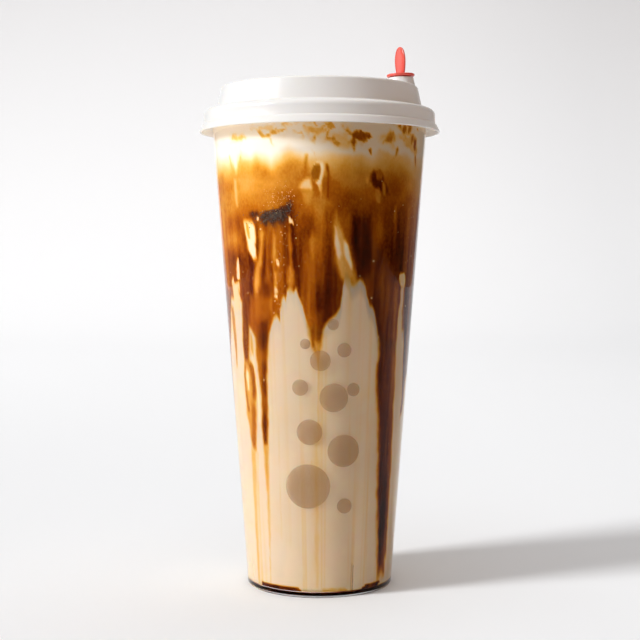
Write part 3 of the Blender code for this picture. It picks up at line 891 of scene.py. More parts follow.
def lay_marks(wall):
    """Paints the marks of the front, in order."""
    for level, edge, cream, rows in MARKS:
        wall.lay(*photo_sides(rows), level, edge * MM, cream)
    for rows in GRIT_MARKS:
        wall.lay(*photo_sides(rows), 0.80, 2.0 * MM, grit=1.0)
    for level, edge, cream, rows in LUMPS:
        wall.lay(*photo_sides(rows), level, edge * MM, cream, grit=0.0)


# %% [markdown]
# The back has no photograph to follow. Its drips come from a seeded draw, so they are the
# same in every run: each starts inside the sheet, wanders a little and ends in a point.
# Long dark ones are rare, short ones are common, and a few white streaks lie between.

# %% Drips at the back
BACK_DRIPS = 34
BACK_SEED = 5
ROWS_OF_A_DRIP = 7


def lay_back(wall):
    """Paints seeded drips and milk streaks on the part that the photograph doesn't show."""
    draw = np.random.default_rng(BACK_SEED)
    for number in range(BACK_DRIPS):
        middle = math.radians(draw.uniform(88, 272))
        long = draw.random() ** 1.6
        top = draw.uniform(112, 130)
        foot = top - 14 - 100 * long
        width = draw.uniform(1.1, 2.6) * (0.7 + 0.8 * long)
        white = number % 5 == 4
        level = 0.03 if white else draw.uniform(0.4, 0.9)
        rows = ROWS_OF_A_DRIP
        heights = np.linspace(top + (20 if white else 0), foot + (45 if white else 0), rows)
        wander = np.cumsum(draw.normal(0.0, 0.35, rows))
        share = np.linspace(0.0, 1.0, rows)
        halves = width * (1.0 - share ** 2.5) * draw.uniform(0.75, 1.2, rows) + 0.05
        halves *= ease(share, -0.1, 0.3) if white else 1.0
        reach = outer_radius(heights * MM) / MM
        for shift in (0.0, -math.tau):
            left = middle + shift + (wander - halves) / reach
            right = middle + shift + (wander + halves) / reach
            sides = (left, heights * MM), (right, heights * MM)
            wall.lay(*sides, level, (0.5 if white else 1.3) * MM, 0.9 if white else None)


# %% Paint both bodies
for piece in (milk_tea, milk_foam):
    wall = Wall(piece)
    lay_sheet(wall)
    lay_back(wall)
    lay_marks(wall)
    wall.store()
    print(f"{piece.name}: mean syrup {wall.syrup.mean():.3f}, largest {wall.syrup.max():.2f}")


# %% [markdown]
# ## Bubbles on the wall
# Where syrup and milk meet, small air bubbles stick to the plastic. They show as pale
# specks, most of them in the golden patch on the left. Their pale golden colour is partly
# their own and partly painted highlight, standing in for the glints on the bubbles. There
# are hundreds, so Geometry Nodes set a flattened ball on each of many points. The points
# carry the size of their bubble, and the direction away from the axis.

# %% Places of the bubbles: photo point and radius in mm
BUBBLE_SEED = 71
BACK_BUBBLES = 260
PATCH_MIDDLE = (281, 198)
CHAIN_ACROSS = 283
CHAIN_ROWS = (222, 310)
RIGHT_ROWS = (190, 560)
LEFT_ROWS = (240, 340)
EDGE_TOP = 140
LEFT_EDGE = (213.4, 0.0782)
RIGHT_EDGE = (425, -0.0791)


def golden_specks(draw):
    """Many small bubbles in the golden patch, and a few along the dark lump below it."""
    spots = []
    for _ in range(120):
        across = draw.normal(PATCH_MIDDLE[0], 9.0)
        down = draw.normal(PATCH_MIDDLE[1], 8.0)
        spots.append((across, down, draw.uniform(0.06, 0.15)))
    for _ in range(40):
        down = draw.uniform(*CHAIN_ROWS)
        across = draw.normal(CHAIN_ACROSS - 0.05 * (down - CHAIN_ROWS[0]), 3.5)
        spots.append((across, down, draw.uniform(0.08, 0.20)))
    return spots


LONE_SPECKS = (
    (282, 192, 0.26), (290.5, 191.5, 0.24), (289, 196, 0.26), (294, 195.5, 0.24), (284, 198, 0.22),
    (272, 262, 0.26), (278, 262, 0.45), (297, 225, 0.22), (296, 238, 0.24), (299, 266, 0.2),
    (260.5, 229, 0.42), (281, 232, 0.24), (276, 291, 0.5), (275.5, 296, 0.4), (275, 301, 0.3),
    (274, 313, 0.25), (373.5, 261, 0.38), (371.5, 298, 0.42), (405.3, 306, 0.28), (378.5, 337, 0.3),
    (412, 281, 0.26), (413, 270, 0.3), (411, 256, 0.3), (403, 205, 0.28), (394.5, 211, 0.3),
    (264, 380, 0.32), (277, 351.5, 0.26), (281, 408, 0.26), (388.5, 444, 0.2), (339, 206, 0.16),
    (382, 181, 0.22), (258, 292, 0.18), (256, 297, 0.16), (240, 310, 0.18), (248, 293, 0.22),
    (243, 272, 0.16), (345, 268, 0.24), (360, 276, 0.2), (253, 278, 0.18), (314, 348, 0.12),
    (305, 262, 0.14), (318, 270, 0.12), (331, 222, 0.12), (361, 199, 0.14), (398, 232, 0.14),
)


def side_of_cup(edge, down):
    """Where a side of the cup stands in the photograph. edge is a place and a slope."""
    return edge[0] + (down - EDGE_TOP) * edge[1]


def edge_specks(draw):
    """Bubbles near both sides of the cup, where the wall is seen at a slant. Their pale colour is partly
    painted highlight for the glints there.
    """
    spots = []
    for _ in range(60):
        down = draw.uniform(*RIGHT_ROWS)
        inset = abs(draw.normal(0.0, 4.0)) + 1.5
        spots.append((side_of_cup(RIGHT_EDGE, down) - inset, down, draw.uniform(0.07, 0.2)))
    for _ in range(30):
        down = draw.uniform(*LEFT_ROWS)
        inset = abs(draw.normal(0.0, 3.0)) + 1.5
        spots.append((side_of_cup(LEFT_EDGE, down) + inset, down, draw.uniform(0.07, 0.18)))
    return spots


draw = np.random.default_rng(BUBBLE_SEED)
specks = [*golden_specks(draw), *LONE_SPECKS, *edge_specks(draw)]
bubbles = [(*wall_spot(across, down), size) for across, down, size in specks]
for _ in range(BACK_BUBBLES):
    turn = math.radians(draw.uniform(80, 280))
    height = draw.uniform(60, 172) * MM
    bubbles.append((turn, height, draw.uniform(0.07, 0.26)))


def wall_points(name, spots):
    """A mesh with one point on the drink's wall for each (turn, height, size in mm)."""
    mesh = bpy.data.meshes.new(name)
    places = []
    for turn, z, _ in spots:
        reach = DRINK_BASE_RADIUS + WALL_TAPER * z
        places.append((reach * math.sin(turn), -reach * math.cos(turn), z))
    mesh.from_pydata(places, [], [])
    sizes = [size * MM for _, _, size in spots]
    outward = [(math.sin(turn), -math.cos(turn), -WALL_TAPER) for turn, _, _ in spots]
    mesh.attributes.new("size", "FLOAT", "POINT").data.foreach_set("value", sizes)
    mesh.attributes.new("outward", "FLOAT_VECTOR", "POINT").data.foreach_set("vector", np.ravel(outward))
    return mesh


print(len(bubbles), "bubbles")

# %% Material of the bubbles
# painted highlight: these pale golden tones stand in partly for the glints of the bubbles
GOLDEN_TONES = ((0.3, (0.80, 0.46, 0.12)), (0.7, (0.90, 0.62, 0.26)))
bubble_finish = mottled("air_bubbles", 300.0, GOLDEN_TONES, {
    "Roughness": 0.5,
    "Specular IOR Level": 0.2,
    "Subsurface Weight": 0.3,
    "Subsurface Radius": (1.0, 0.6, 0.4),
    "Subsurface Scale": 1.0 * MM,
})

# %% Geometry Nodes for the bubbles
bubble_tree, given = new_geometry_tree("wall_bubbles", {
    "Flatness": ("NodeSocketFloat", 0.4),
    "Segments": ("NodeSocketInt", 8),
    "Rings": ("NodeSocketInt", 5),
    "Material": ("NodeSocketMaterial", None),
})
t = bubble_tree
ball = add(t, "GeometryNodeMeshUVSphere", {
    "Segments": given["Segments"],
    "Rings": given["Rings"],
    "Radius": 1.0,
})
away = stored(t, "outward", "FLOAT_VECTOR")
size = stored(t, "size")
scale = vector(t, size, size, calc(t, "MULTIPLY", size, given["Flatness"]))
rotation = add(t, "FunctionNodeAlignRotationToVector", {"Vector": away}, axis="Z").outputs[0]
set_on = add(t, "GeometryNodeInstanceOnPoints", {
    "Points": given["Geometry"],
    "Instance": ball.outputs["Mesh"],
    "Rotation": rotation,
    "Scale": scale,
})
close_tree(t, set_on.outputs[0], given["Material"])
bubble_values = {"Material": bubble_finish, "Flatness": 0.45}
bubble_places = wall_points("bubble_places", bubbles)
wall_bubbles = grow("wall_bubbles", bubble_tree, bubble_values, bubble_places)


# %% [markdown]
# The dark lump on the left is brown sugar that hasn't dissolved, so its edge is grainy.
# The same tree sets small dark grains round it, closer together near its middle.

# %% Grains of brown sugar
BURNT_TONES = ((0.35, (0.020, 0.014, 0.010)), (0.65, (0.10, 0.045, 0.015)))
sugar_finish = mottled("brown_sugar_grains", 700.0, BURNT_TONES, {"Roughness": 0.5})

SUGAR_SEED = 83
LUMP_MIDDLE = (272, 216)
CRUMBS_MIDDLE = (289, 207)
draw = np.random.default_rng(SUGAR_SEED)
grains = []
for _ in range(300):
    along = draw.normal(0.0, 1.0)
    across = LUMP_MIDDLE[0] + 10.0 * along
    down = LUMP_MIDDLE[1] - 1.2 * along + draw.normal(0.0, 3.2)
    grains.append((*wall_spot(across, down), draw.uniform(0.10, 0.28)))
for _ in range(50):
    across = draw.normal(CRUMBS_MIDDLE[0], 1.8)
    down = draw.normal(CRUMBS_MIDDLE[1], 4.0)
    grains.append((*wall_spot(across, down), draw.uniform(0.08, 0.18)))
grain_values = {"Material": sugar_finish, "Flatness": 0.4}
grain_places = wall_points("grain_places", grains)
sugar_grains = grow("brown_sugar_grains", bubble_tree, grain_values, grain_places)


# %% [markdown]
# ## The clear cup
# The cup is one moulding: a cone with a thin wall, a rolled rim, a foot ring and four
# short ribs inside, which keep stacked cups apart. It is a shape that was turned, so an
# outline is turned about the axis in many steps, and the ribs come from Geometry Nodes as
# one plate set on four points. A Boolean fuses them with the wall.

# %% Turning an outline
def arc(centre, radius, start_deg, stop_deg, steps):
    """Points of an arc in the (radius, height) plane, with both of its ends."""
    swing = stop_deg - start_deg
    angles = [math.radians(start_deg + swing * i / steps) for i in range(steps + 1)]
    return [(centre[0] + radius * math.cos(a), centre[1] + radius * math.sin(a)) for a in angles]


MERGE_DISTANCE = 1e-6


def solid_from(name, bm, material):
    """A piece from a closed shell of faces, with all of them turned outwards."""
    bmesh.ops.recalc_face_normals(bm, faces=bm.faces)
    mesh = bpy.data.meshes.new(name)
    bm.to_mesh(mesh)
    bm.free()
    mesh.materials.append(material)
    return put_in_scene(name, mesh)


def turned(name, outline, segments, material):
    """A solid of revolution. Its outline is a closed ring, or runs from axis to axis."""
    bm = bmesh.new()
    verts = [bm.verts.new((r, 0.0, z)) for r, z in outline]
    open_ends = outline[0][0] == 0.0 and outline[-1][0] == 0.0
    following = verts[1:] if open_ends else verts[1:] + verts[:1]
    edges = [bm.edges.new(pair) for pair in zip(verts, following)]
    about_axis = {"cent": (0, 0, 0), "axis": (0, 0, 1), "angle": math.tau}
    bmesh.ops.spin(bm, geom=verts + edges, steps=segments, use_merge=True, **about_axis)
    bmesh.ops.remove_doubles(bm, verts=bm.verts, dist=MERGE_DISTANCE)
    return solid_from(name, bm, material)


def fuse(piece, other, operation="UNION"):
    """Joins another piece to this one, or cuts it away, and removes the other."""
    boolean = piece.modifiers.new("fuse", "BOOLEAN")
    boolean.operation = operation
    boolean.object = other
    depsgraph = bpy.context.evaluated_depsgraph_get()
    mesh = bpy.data.meshes.new_from_object(piece.evaluated_get(depsgraph), depsgraph=depsgraph)
    piece.modifiers.remove(boolean)
    piece.data = mesh
    bpy.data.objects.remove(other)


def smooth(piece, degrees=32):
    """Smooth shading that keeps the sharp edges, and a short report."""
    piece.data.shade_smooth()
    piece.data.set_sharp_from_angle(angle=math.radians(degrees))
    piece.data.calc_loop_triangles()
    print(f"{piece.name}: {len(piece.data.loop_triangles)} triangles")


# %% [markdown]
# Clear plastic bends and mirrors light, and the shader can do both. But lamps can't shine
# through such glass without a very long render, and the drink would stay dark. So the rays
# that look for lamps pass straight through, by a transparent shader that only they meet.

# %% Material of the clear cup
def let_light_through(material, share):
    """Lets a share of the lamps' light, as red, green and blue, pass a wall unbent."""
    tree = material.node_tree
    path = add(tree, "ShaderNodeLightPath")
    clear = add(tree, "ShaderNodeBsdfTransparent", {"Color": (*share, 1.0)})
    mix = add(tree, "ShaderNodeMixShader", {
        0: path.outputs["Is Shadow Ray"],
        1: tree.nodes["Principled BSDF"].outputs[0],
        2: clear.outputs[0],
    })
    tree.links.new(mix.outputs[0], tree.nodes["Material Output"].inputs["Surface"])


cup_finish, tree, shader = new_material("clear_plastic", {
    "Base Color": (0.97, 0.975, 0.975, 1.0),
    "Transmission Weight": 1.0,
    "IOR": PLASTIC_IOR,
    "Specular Tint": (0.08, 0.08, 0.08, 1.0),
    "Roughness": 0.04,
})
let_light_through(cup_finish, (0.985, 0.985, 0.985))
print(f"clear plastic: {len(tree.nodes)} nodes, index of refraction {PLASTIC_IOR}")

# %% Turn the cup
ROUND_STEPS = 192
RIM_RADIUS = 45.0 * MM
RIM_DEPTH = 1.6 * MM
FOOT_WIDTH = 2.2 * MM
FOOT_RECESS = 0.7 * MM
FLOOR_ROUND = 1.2 * MM


def inner_radius(height):
    """Radius of the cup's inner wall at a height."""
    return outer_radius(height) - CUP_WALL


lip = cup_height - RIM_DEPTH
foot_inner = BASE_RADIUS - FOOT_WIDTH
outline = [
    (0.0, FOOT_RECESS),
    (foot_inner - 0.7 * MM, FOOT_RECESS),
    *arc((foot_inner - 0.7 * MM, 0.0), 0.7 * MM, 60, 20, 3),
    *arc((foot_inner + 0.5 * MM, 0.4 * MM), 0.4 * MM, 200, 270, 3),
    *arc((BASE_RADIUS - 0.6 * MM, 0.6 * MM), 0.6 * MM, 270, 355, 5),
    (outer_radius(lip - 0.3 * MM), lip - 0.3 * MM),
    *arc((RIM_RADIUS - 0.5 * MM, lip + 0.45 * MM), 0.45 * MM, 250, 340, 4),
    *arc((RIM_RADIUS - 0.6 * MM, cup_height - 0.6 * MM), 0.6 * MM, 0, 90, 5),
    *arc((inner_radius(cup_height) + 0.5 * MM, cup_height - 0.5 * MM), 0.5 * MM, 90, 180, 4),
    *arc((inner_radius(FLOOR_TOP) - FLOOR_ROUND, FLOOR_TOP + FLOOR_ROUND), FLOOR_ROUND, 0, -90, 6),
    (0.0, FLOOR_TOP),
]
clear_cup = turned("clear_cup", outline, ROUND_STEPS, cup_finish)
print(f"rim {RIM_RADIUS / MM:.1f} mm from the axis, foot {BASE_RADIUS / MM:.1f} mm")

# %% Geometry Nodes for the stacking ribs
RIB_COUNT = 4
RIB_TURN = math.radians(26)
RIB_TOP = 13.0 * MM
RIB_WIDTH = 0.6 * MM
RIB_DEPTH = 0.8 * MM

rib_tree, given = new_geometry_tree("stacking_ribs", {
    "Count": ("NodeSocketInt", 4),
    "First turn": ("NodeSocketFloat", 0.0),
    "Width": ("NodeSocketFloat", 0.001),
    "Depth": ("NodeSocketFloat", 0.001),
    "Low": ("NodeSocketFloat", 0.0),
    "Top": ("NodeSocketFloat", 0.01),
    "Wall": ("NodeSocketFloat", 0.03),
    "Taper": ("NodeSocketFloat", 0.07),
    "Material": ("NodeSocketMaterial", None),
})
t = rib_tree
length = calc(t, "SUBTRACT", given["Top"], given["Low"])
size = vector(t, given["Depth"], given["Width"], length)
corners = {"Vertices X": 2, "Vertices Y": 2, "Vertices Z": 2}
plate = add(t, "GeometryNodeMeshCube", {"Size": size, **corners})
x, y, z = point_place(t)
height = calc(t, "ADD", calc(t, "MULTIPLY_ADD", length, 0.5, given["Low"]), z)
inset = calc(t, "SUBTRACT", x, calc(t, "MULTIPLY", given["Depth"], 0.5))
leaning = calc(t, "ADD", calc(t, "MULTIPLY_ADD", height, given["Taper"], given["Wall"]), inset)
standing = moved_to(t, plate.outputs["Mesh"], vector(t, leaning, y, height))
step = calc(t, "DIVIDE", math.tau, given["Count"])
all_ribs = round_the_axis(t, standing, given["Count"], step, given["First turn"])
close_tree(t, all_ribs, given["Material"])
ribs = grow("stacking_ribs", rib_tree, {
    "Count": RIB_COUNT,
    "First turn": RIB_TURN + FRONT,
    "Width": RIB_WIDTH,
    "Depth": RIB_DEPTH + 0.4 * MM,
    "Low": FLOOR_TOP - 0.4 * MM,
    "Top": RIB_TOP,
    "Wall": BASE_RADIUS - 0.5 * MM,
    "Taper": WALL_TAPER,
    "Material": cup_finish,
})
fuse(clear_cup, ribs)
smooth(clear_cup, 40)


# %% [markdown]
# The drink has to make room for the ribs. Its own points are moved inwards where a rib
# stands, which leaves a narrow groove on the wall of the drink. Seen from outside, each
# groove is a thin dark line, because less light reaches its bottom.

# %% Grooves in the drink
def groove(piece, count):
    """Moves the drink's points back behind each rib."""
    mesh = piece.data
    points = mesh_points(mesh)
    turn = np.arctan2(points[:, 0], -points[:, 1])
    reach = np.hypot(points[:, 0], points[:, 1])
    at_wall = reach > outer_radius(points[:, 2]) - CUP_WALL - 0.2 * MM
    for i in range(count):
        away = (turn - RIB_TURN - i * math.tau / count + math.pi) % math.tau - math.pi
        near = at_wall & (np.abs(away) * reach < RIB_WIDTH * 0.75) & (points[:, 2] < RIB_TOP)
        points[near, :2] *= ((reach[near] - RIB_DEPTH) / reach[near])[:, None]
        print(f"rib {i}: {int(near.sum())} points moved")
    mesh.vertices.foreach_set("co", points.ravel())
    mesh.update()


groove(milk_tea, RIB_COUNT)


# %% [markdown]
# ## The print
# The cup carries a thin print in taupe ink, through which the milk still shows. It is a
# plain pattern of round dots here, like bubbles that rise. Each one is a thin round plate
# that has to hug the cone. Geometry Nodes lay the plates out flat, at their place on the
# unrolled wall, then one Set Position bends them all round the cup, and the whole print is
# set down twice, at the front and half a turn further at the back.

# %% Material of the ink
INK_TONES = ((0.35, (0.40, 0.21, 0.085)), (0.65, (0.46, 0.25, 0.11)))
ink_finish = mottled("taupe_ink", 500.0, INK_TONES, {
    "Roughness": 0.6,
    "Specular IOR Level": 0.1,
    "Alpha": 0.25,
})

# %% Places of the dots: degrees from the front, and height and radius in mm
DOTS = (
    (-8.0, 45.0, 8.8),
    (16.0, 59.0, 6.4),
    (-6.5, 66.5, 5.0),
    (9.0, 80.0, 5.6),
    (-12.0, 84.0, 3.2),
    (21.5, 83.0, 2.6),
    (0.5, 94.5, 4.0),
    (15.0, 98.5, 2.8),
    (-8.5, 101.0, 2.0),
    (8.0, 108.5, 2.2),
    (17.5, 37.0, 3.0),
)
INK_THICKNESS = 0.05 * MM
INK_GAP = 0.03 * MM


def flat_dots():
    """The dots as points on the unrolled wall."""
    mesh = bpy.data.meshes.new("dot_places")
    placed = [(math.radians(turn), height * MM, radius * MM) for turn, height, radius in DOTS]
    mesh.from_pydata([(turn * outer_radius(z), z, 0.0) for turn, z, _ in placed], [], [])
    radii = [radius for _, _, radius in placed]
    mesh.attributes.new("radius", "FLOAT", "POINT").data.foreach_set("value", radii)
    return mesh


# %% Geometry Nodes that lay dots flat and wrap them round the cup
print_tree, given = new_geometry_tree("wrapped_dots", {
    "Sides": ("NodeSocketInt", 64),
    "Rings": ("NodeSocketInt", 8),
    "Thickness": ("NodeSocketFloat", 0.00005),
    "Gap": ("NodeSocketFloat", 0.00003),
    "Base radius": ("NodeSocketFloat", 0.03),
    "Taper": ("NodeSocketFloat", 0.07),
    "Material": ("NodeSocketMaterial", None),
})
t = print_tree
disc = add(t, "GeometryNodeMeshCylinder", {
    "Vertices": given["Sides"],
    "Side Segments": 1,
    "Fill Segments": given["Rings"],
    "Radius": 1.0,
    "Depth": 1.0,
}, fill_type="TRIANGLE_FAN")
radius = stored(t, "radius")
scale = vector(t, radius, radius, given["Thickness"])
laid = add(t, "GeometryNodeInstanceOnPoints", {
    "Points": given["Geometry"],
    "Instance": disc.outputs["Mesh"],
    "Scale": scale,
}).outputs[0]
laid = add(t, "GeometryNodeRealizeInstances", {"Geometry": laid}).outputs[0]
along, up, out = point_place(t)
cone = calc(t, "MULTIPLY_ADD", up, given["Taper"], given["Base radius"])
angle = calc(t, "DIVIDE", along, cone)
lifted = calc(t, "ADD", calc(t, "ADD", cone, out), given["Gap"])
wrapped = vector(
    t,
    calc(t, "MULTIPLY", lifted, calc(t, "SINE", angle)),
    calc(t, "MULTIPLY", calc(t, "MULTIPLY", lifted, calc(t, "COSINE", angle)), -1.0),
    up,
)
both_prints = round_the_axis(t, moved_to(t, laid, wrapped), 2, math.pi)
close_tree(t, both_prints, given["Material"])

# %% Print the dots
wrap = {
    "Thickness": INK_THICKNESS,
    "Gap": INK_GAP + INK_THICKNESS / 2,
    "Base radius": BASE_RADIUS,
    "Taper": WALL_TAPER,
    "Material": ink_finish,
}
printed_dots = grow("printed_dots", print_tree, wrap, flat_dots())
print(len(DOTS), "dots on each side")


# %% [markdown]
# ## The lid
# The lid is a thin white moulding: a flared skirt that grips the rim, a rounded shoulder,
# a raised plateau with a shallow panel, and a short spout. The camera sees it from below
# its top, so the soft edges matter most, because they catch the light. Its outline is
# turned with fine arcs, and the spout is turned separately and fused on. The wall is so
# thin that some warm light comes through it onto the foam.

# %% Material of the white plastic
WHITE_TONES = ((0.3, (0.875, 0.865, 0.845)), (0.7, (0.885, 0.875, 0.855)))
LID_LIGHT = (0.63, 0.55, 0.47)
lid_finish = mottled("white_plastic", 25.0, WHITE_TONES, {
    "Roughness": 0.27,
    "Subsurface Weight": 0.25,
    "Subsurface Radius": (1.0, 0.8, 0.6),
    "Subsurface Scale": 1.5 * MM,
})
let_light_through(lid_finish, LID_LIGHT)

# %% Turn the lid
LID_WALL = 0.8 * MM
SKIRT_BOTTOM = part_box("lid")[0].z
SKIRT_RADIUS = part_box("lid")[1].y
FLARE_RADIUS = 47.9 * MM
FLARE_TOP = 187.6 * MM
BAND_RADIUS = 47.1 * MM
SHOULDER_TOP = 194.0 * MM
SHOULDER_ROUND = 2.6 * MM
PLATEAU_BASE_RADIUS = 41.8 * MM
PLATEAU_RADIUS = 40.2 * MM
PLATEAU_TOP = 203.2 * MM
PLATEAU_ROUND = 1.3 * MM
PANEL_RADIUS = 36.5 * MM
PANEL_DEPTH = 0.5 * MM
PANEL_ROUND = 0.25 * MM
GRIP_RADIUS = 45.3 * MM
GRIP_LOW = 189.1 * MM
GRIP_LEVEL = 190.0 * MM
GRIP_HIGH = 190.9 * MM
GRIP_SPACE = (189.0 * MM, 191.0 * MM)


def offset(line, distance):
    """The line moved sideways to its left by a distance, with mitred corners."""
    moved = []
    for i in range(len(line)):
        normals = []
        for start, stop in zip(line[max(i - 1, 0):i + 1], line[max(i, 1):i + 2]):
            length = math.dist(start, stop)
            normals.append(((start[1] - stop[1]) / length, (stop[0] - start[0]) / length))
        side_r = sum(n[0] for n in normals) / len(normals)
        side_z = sum(n[1] for n in normals) / len(normals)
        mitre = distance / (side_r ** 2 + side_z ** 2)
        moved.append((line[i][0] + side_r * mitre, line[i][1] + side_z * mitre))
    return moved


outer_line = [
    (SKIRT_RADIUS - 0.1 * MM, SKIRT_BOTTOM + 0.05 * MM),
    (SKIRT_RADIUS, SKIRT_BOTTOM + 0.4 * MM),
    (SKIRT_RADIUS - 0.35 * MM, SKIRT_BOTTOM + 1.2 * MM),
    (FLARE_RADIUS + 0.15 * MM, FLARE_TOP - 0.5 * MM),
    (FLARE_RADIUS - 0.1 * MM, FLARE_TOP),
    (BAND_RADIUS + 0.2 * MM, FLARE_TOP + 0.35 * MM),
    (BAND_RADIUS + 0.03 * MM, FLARE_TOP + 0.8 * MM),
    *arc((BAND_RADIUS - SHOULDER_ROUND, SHOULDER_TOP - SHOULDER_ROUND), SHOULDER_ROUND, 0, 84, 9),
    (PLATEAU_BASE_RADIUS + 1.6 * MM, SHOULDER_TOP),
    *arc((PLATEAU_BASE_RADIUS + 1.15 * MM, SHOULDER_TOP + 1.2 * MM), 1.2 * MM, 265, 190, 5),
    *arc((PLATEAU_RADIUS - PLATEAU_ROUND, PLATEAU_TOP - PLATEAU_ROUND), PLATEAU_ROUND, 10, 90, 8),
]
panel_line = [
    *arc((PANEL_RADIUS + 0.1 * MM, PLATEAU_TOP - PANEL_ROUND), PANEL_ROUND, 90, 150, 3),
    *arc((PANEL_RADIUS - 0.4 * MM, PLATEAU_TOP - PANEL_DEPTH + PANEL_ROUND), PANEL_ROUND, 330, 270, 3),
    (0.0, PLATEAU_TOP - PANEL_DEPTH),
]
inner_line = [point for point in offset(outer_line, LID_WALL) if point[1] > SKIRT_BOTTOM + 1.0 * MM]
grip = [
    (BAND_RADIUS - LID_WALL, GRIP_LOW),
    (GRIP_RADIUS, GRIP_LEVEL),
    (BAND_RADIUS - LID_WALL, GRIP_HIGH),
]
low_inner = [point for point in inner_line if point[1] < GRIP_SPACE[0]]
high_inner = [point for point in inner_line if point[1] > GRIP_SPACE[1]]
skirt_edge = [(SKIRT_RADIUS - LID_WALL, SKIRT_BOTTOM + 0.05 * MM)]
under_panel = [
    (PANEL_RADIUS + 0.8 * MM, PLATEAU_TOP - LID_WALL),
    (PANEL_RADIUS - 0.2 * MM, PLATEAU_TOP - LID_WALL - PANEL_DEPTH),
    (0.0, PLATEAU_TOP - LID_WALL - PANEL_DEPTH),
]
outside = [*reversed(panel_line), *reversed(outer_line)]
inside = [*skirt_edge, *low_inner, *grip, *high_inner, *under_panel]
white_lid = turned("white_lid", [*outside, *inside], ROUND_STEPS, lid_finish)
print(f"lid: {len(outside)} points outside, {len(inside)} inside, skirt {SKIRT_RADIUS / MM:.1f} mm")

# %% Spout of the lid
SPOUT_REACH = 33.3 * MM
SPOUT_LEAN = math.radians(-2.0)
SPOUT_HEIGHT = 4.2 * MM
SPOUT_BASE_RADIUS = 6.1 * MM
SPOUT_TOP_RADIUS = 5.2 * MM
SPOUT_ROOT = 0.6 * MM
HOLE_RADIUS = 4.2 * MM
HOLE_TOP = 7.0 * MM
HOLE_BOTTOM = -3.0 * MM
SPOUT_STEPS = 64
spout_foot = Matrix.Translation((SPOUT_REACH, 0.0, PLATEAU_TOP))
spout_place = spout_foot @ Matrix.Rotation(SPOUT_LEAN, 4, "Y")

spout_line = [
    (0.0, SPOUT_HEIGHT),
    *arc((SPOUT_TOP_RADIUS - 0.4 * MM, SPOUT_HEIGHT - 0.4 * MM), 0.4 * MM, 90, 8, 5),
    *arc((SPOUT_BASE_RADIUS + 0.35 * MM, 0.5 * MM), 0.6 * MM, 190, 262, 4),
    (SPOUT_BASE_RADIUS + 0.3 * MM, -SPOUT_ROOT),
    (0.0, -SPOUT_ROOT),
]
spout = turned("spout", spout_line, SPOUT_STEPS, lid_finish)
spout.data.transform(spout_place)
hole_line = [(0.0, HOLE_TOP), (HOLE_RADIUS, HOLE_TOP), (HOLE_RADIUS, HOLE_BOTTOM), (0.0, HOLE_BOTTOM)]
hole = turned("hole", hole_line, SPOUT_STEPS, lid_finish)
hole.data.transform(spout_place)
fuse(white_lid, spout)
fuse(white_lid, hole, "DIFFERENCE")
smooth(white_lid)


# %% [markdown]
# ## The red stopper
# A round cap with a plug below it and an upright oval tab above it, moulded in red. The
# tab is a paddle: flat faces, soft edges, and narrower at its foot. It is lofted, which
# means that one closed ring after another is stacked up and bridged, each ring a flattened
# superellipse whose width follows the paddle's outline.

# %% Material of the red plastic
RED_TONES = ((0.3, (0.77, 0.100, 0.072)), (0.7, (0.81, 0.120, 0.086)))
red_finish = mottled("red_plastic", 90.0, RED_TONES, {
    "Roughness": 0.22,
    "Subsurface Weight": 0.35,
    "Subsurface Radius": (1.0, 0.12, 0.08),
    "Subsurface Scale": 1.5 * MM,
})

# %% Turn the cap
DISC_RADIUS = 5.7 * MM
DISC_THICKNESS = 1.1 * MM
DISC_ROUND = 0.45 * MM
PLUG_DEPTH = 5.8 * MM
PLUG_RADIUS = 3.9 * MM
PLUG_WALL = 0.8 * MM
PLUG_TAPER = 0.3 * MM
TAB_HEIGHT = 11.0 * MM
TAB_RADIUS = 3.8 * MM
TAB_WAIST = 2.6 * MM
TAB_THICKNESS = 1.2 * MM
TAB_TURN = math.radians(-62)
STOPPER_RISE = SPOUT_HEIGHT + 0.3 * MM
stopper_place = spout_place @ Matrix.Translation((0.0, 0.0, STOPPER_RISE))

cap_line = [
    (0.0, DISC_THICKNESS),
    *arc((DISC_RADIUS - DISC_ROUND, DISC_THICKNESS - DISC_ROUND), DISC_ROUND, 90, 0, 5),
    *arc((DISC_RADIUS - DISC_ROUND, DISC_ROUND), DISC_ROUND, 0, -90, 5),
    (PLUG_RADIUS, 0.0),
    (PLUG_RADIUS - PLUG_TAPER, -PLUG_DEPTH),
    (PLUG_RADIUS - PLUG_TAPER - PLUG_WALL, -PLUG_DEPTH),
    (PLUG_RADIUS - PLUG_WALL, 0.0),
    (0.0, 0.0),
]
red_stopper = turned("red_stopper", cap_line, SPOUT_STEPS, red_finish)

# %% Loft the tab
TAB_BELLY = 0.52
TAB_SQUARENESS = 0.6


def tab_half_width(share):
    """Half the paddle's width from its foot, share 0, to its tip, share 1."""
    if share < TAB_BELLY:
        rise = share / TAB_BELLY
        return TAB_WAIST + (TAB_RADIUS - TAB_WAIST) * math.sin(rise * math.pi / 2)
    return TAB_RADIUS * math.sqrt(max(1.0 - ((share - TAB_BELLY) / (1.0 - TAB_BELLY)) ** 2, 0.0))


def squared(value):
    """A sine or cosine bent towards a rounded square."""
    return math.copysign(abs(value) ** TAB_SQUARENESS, value)


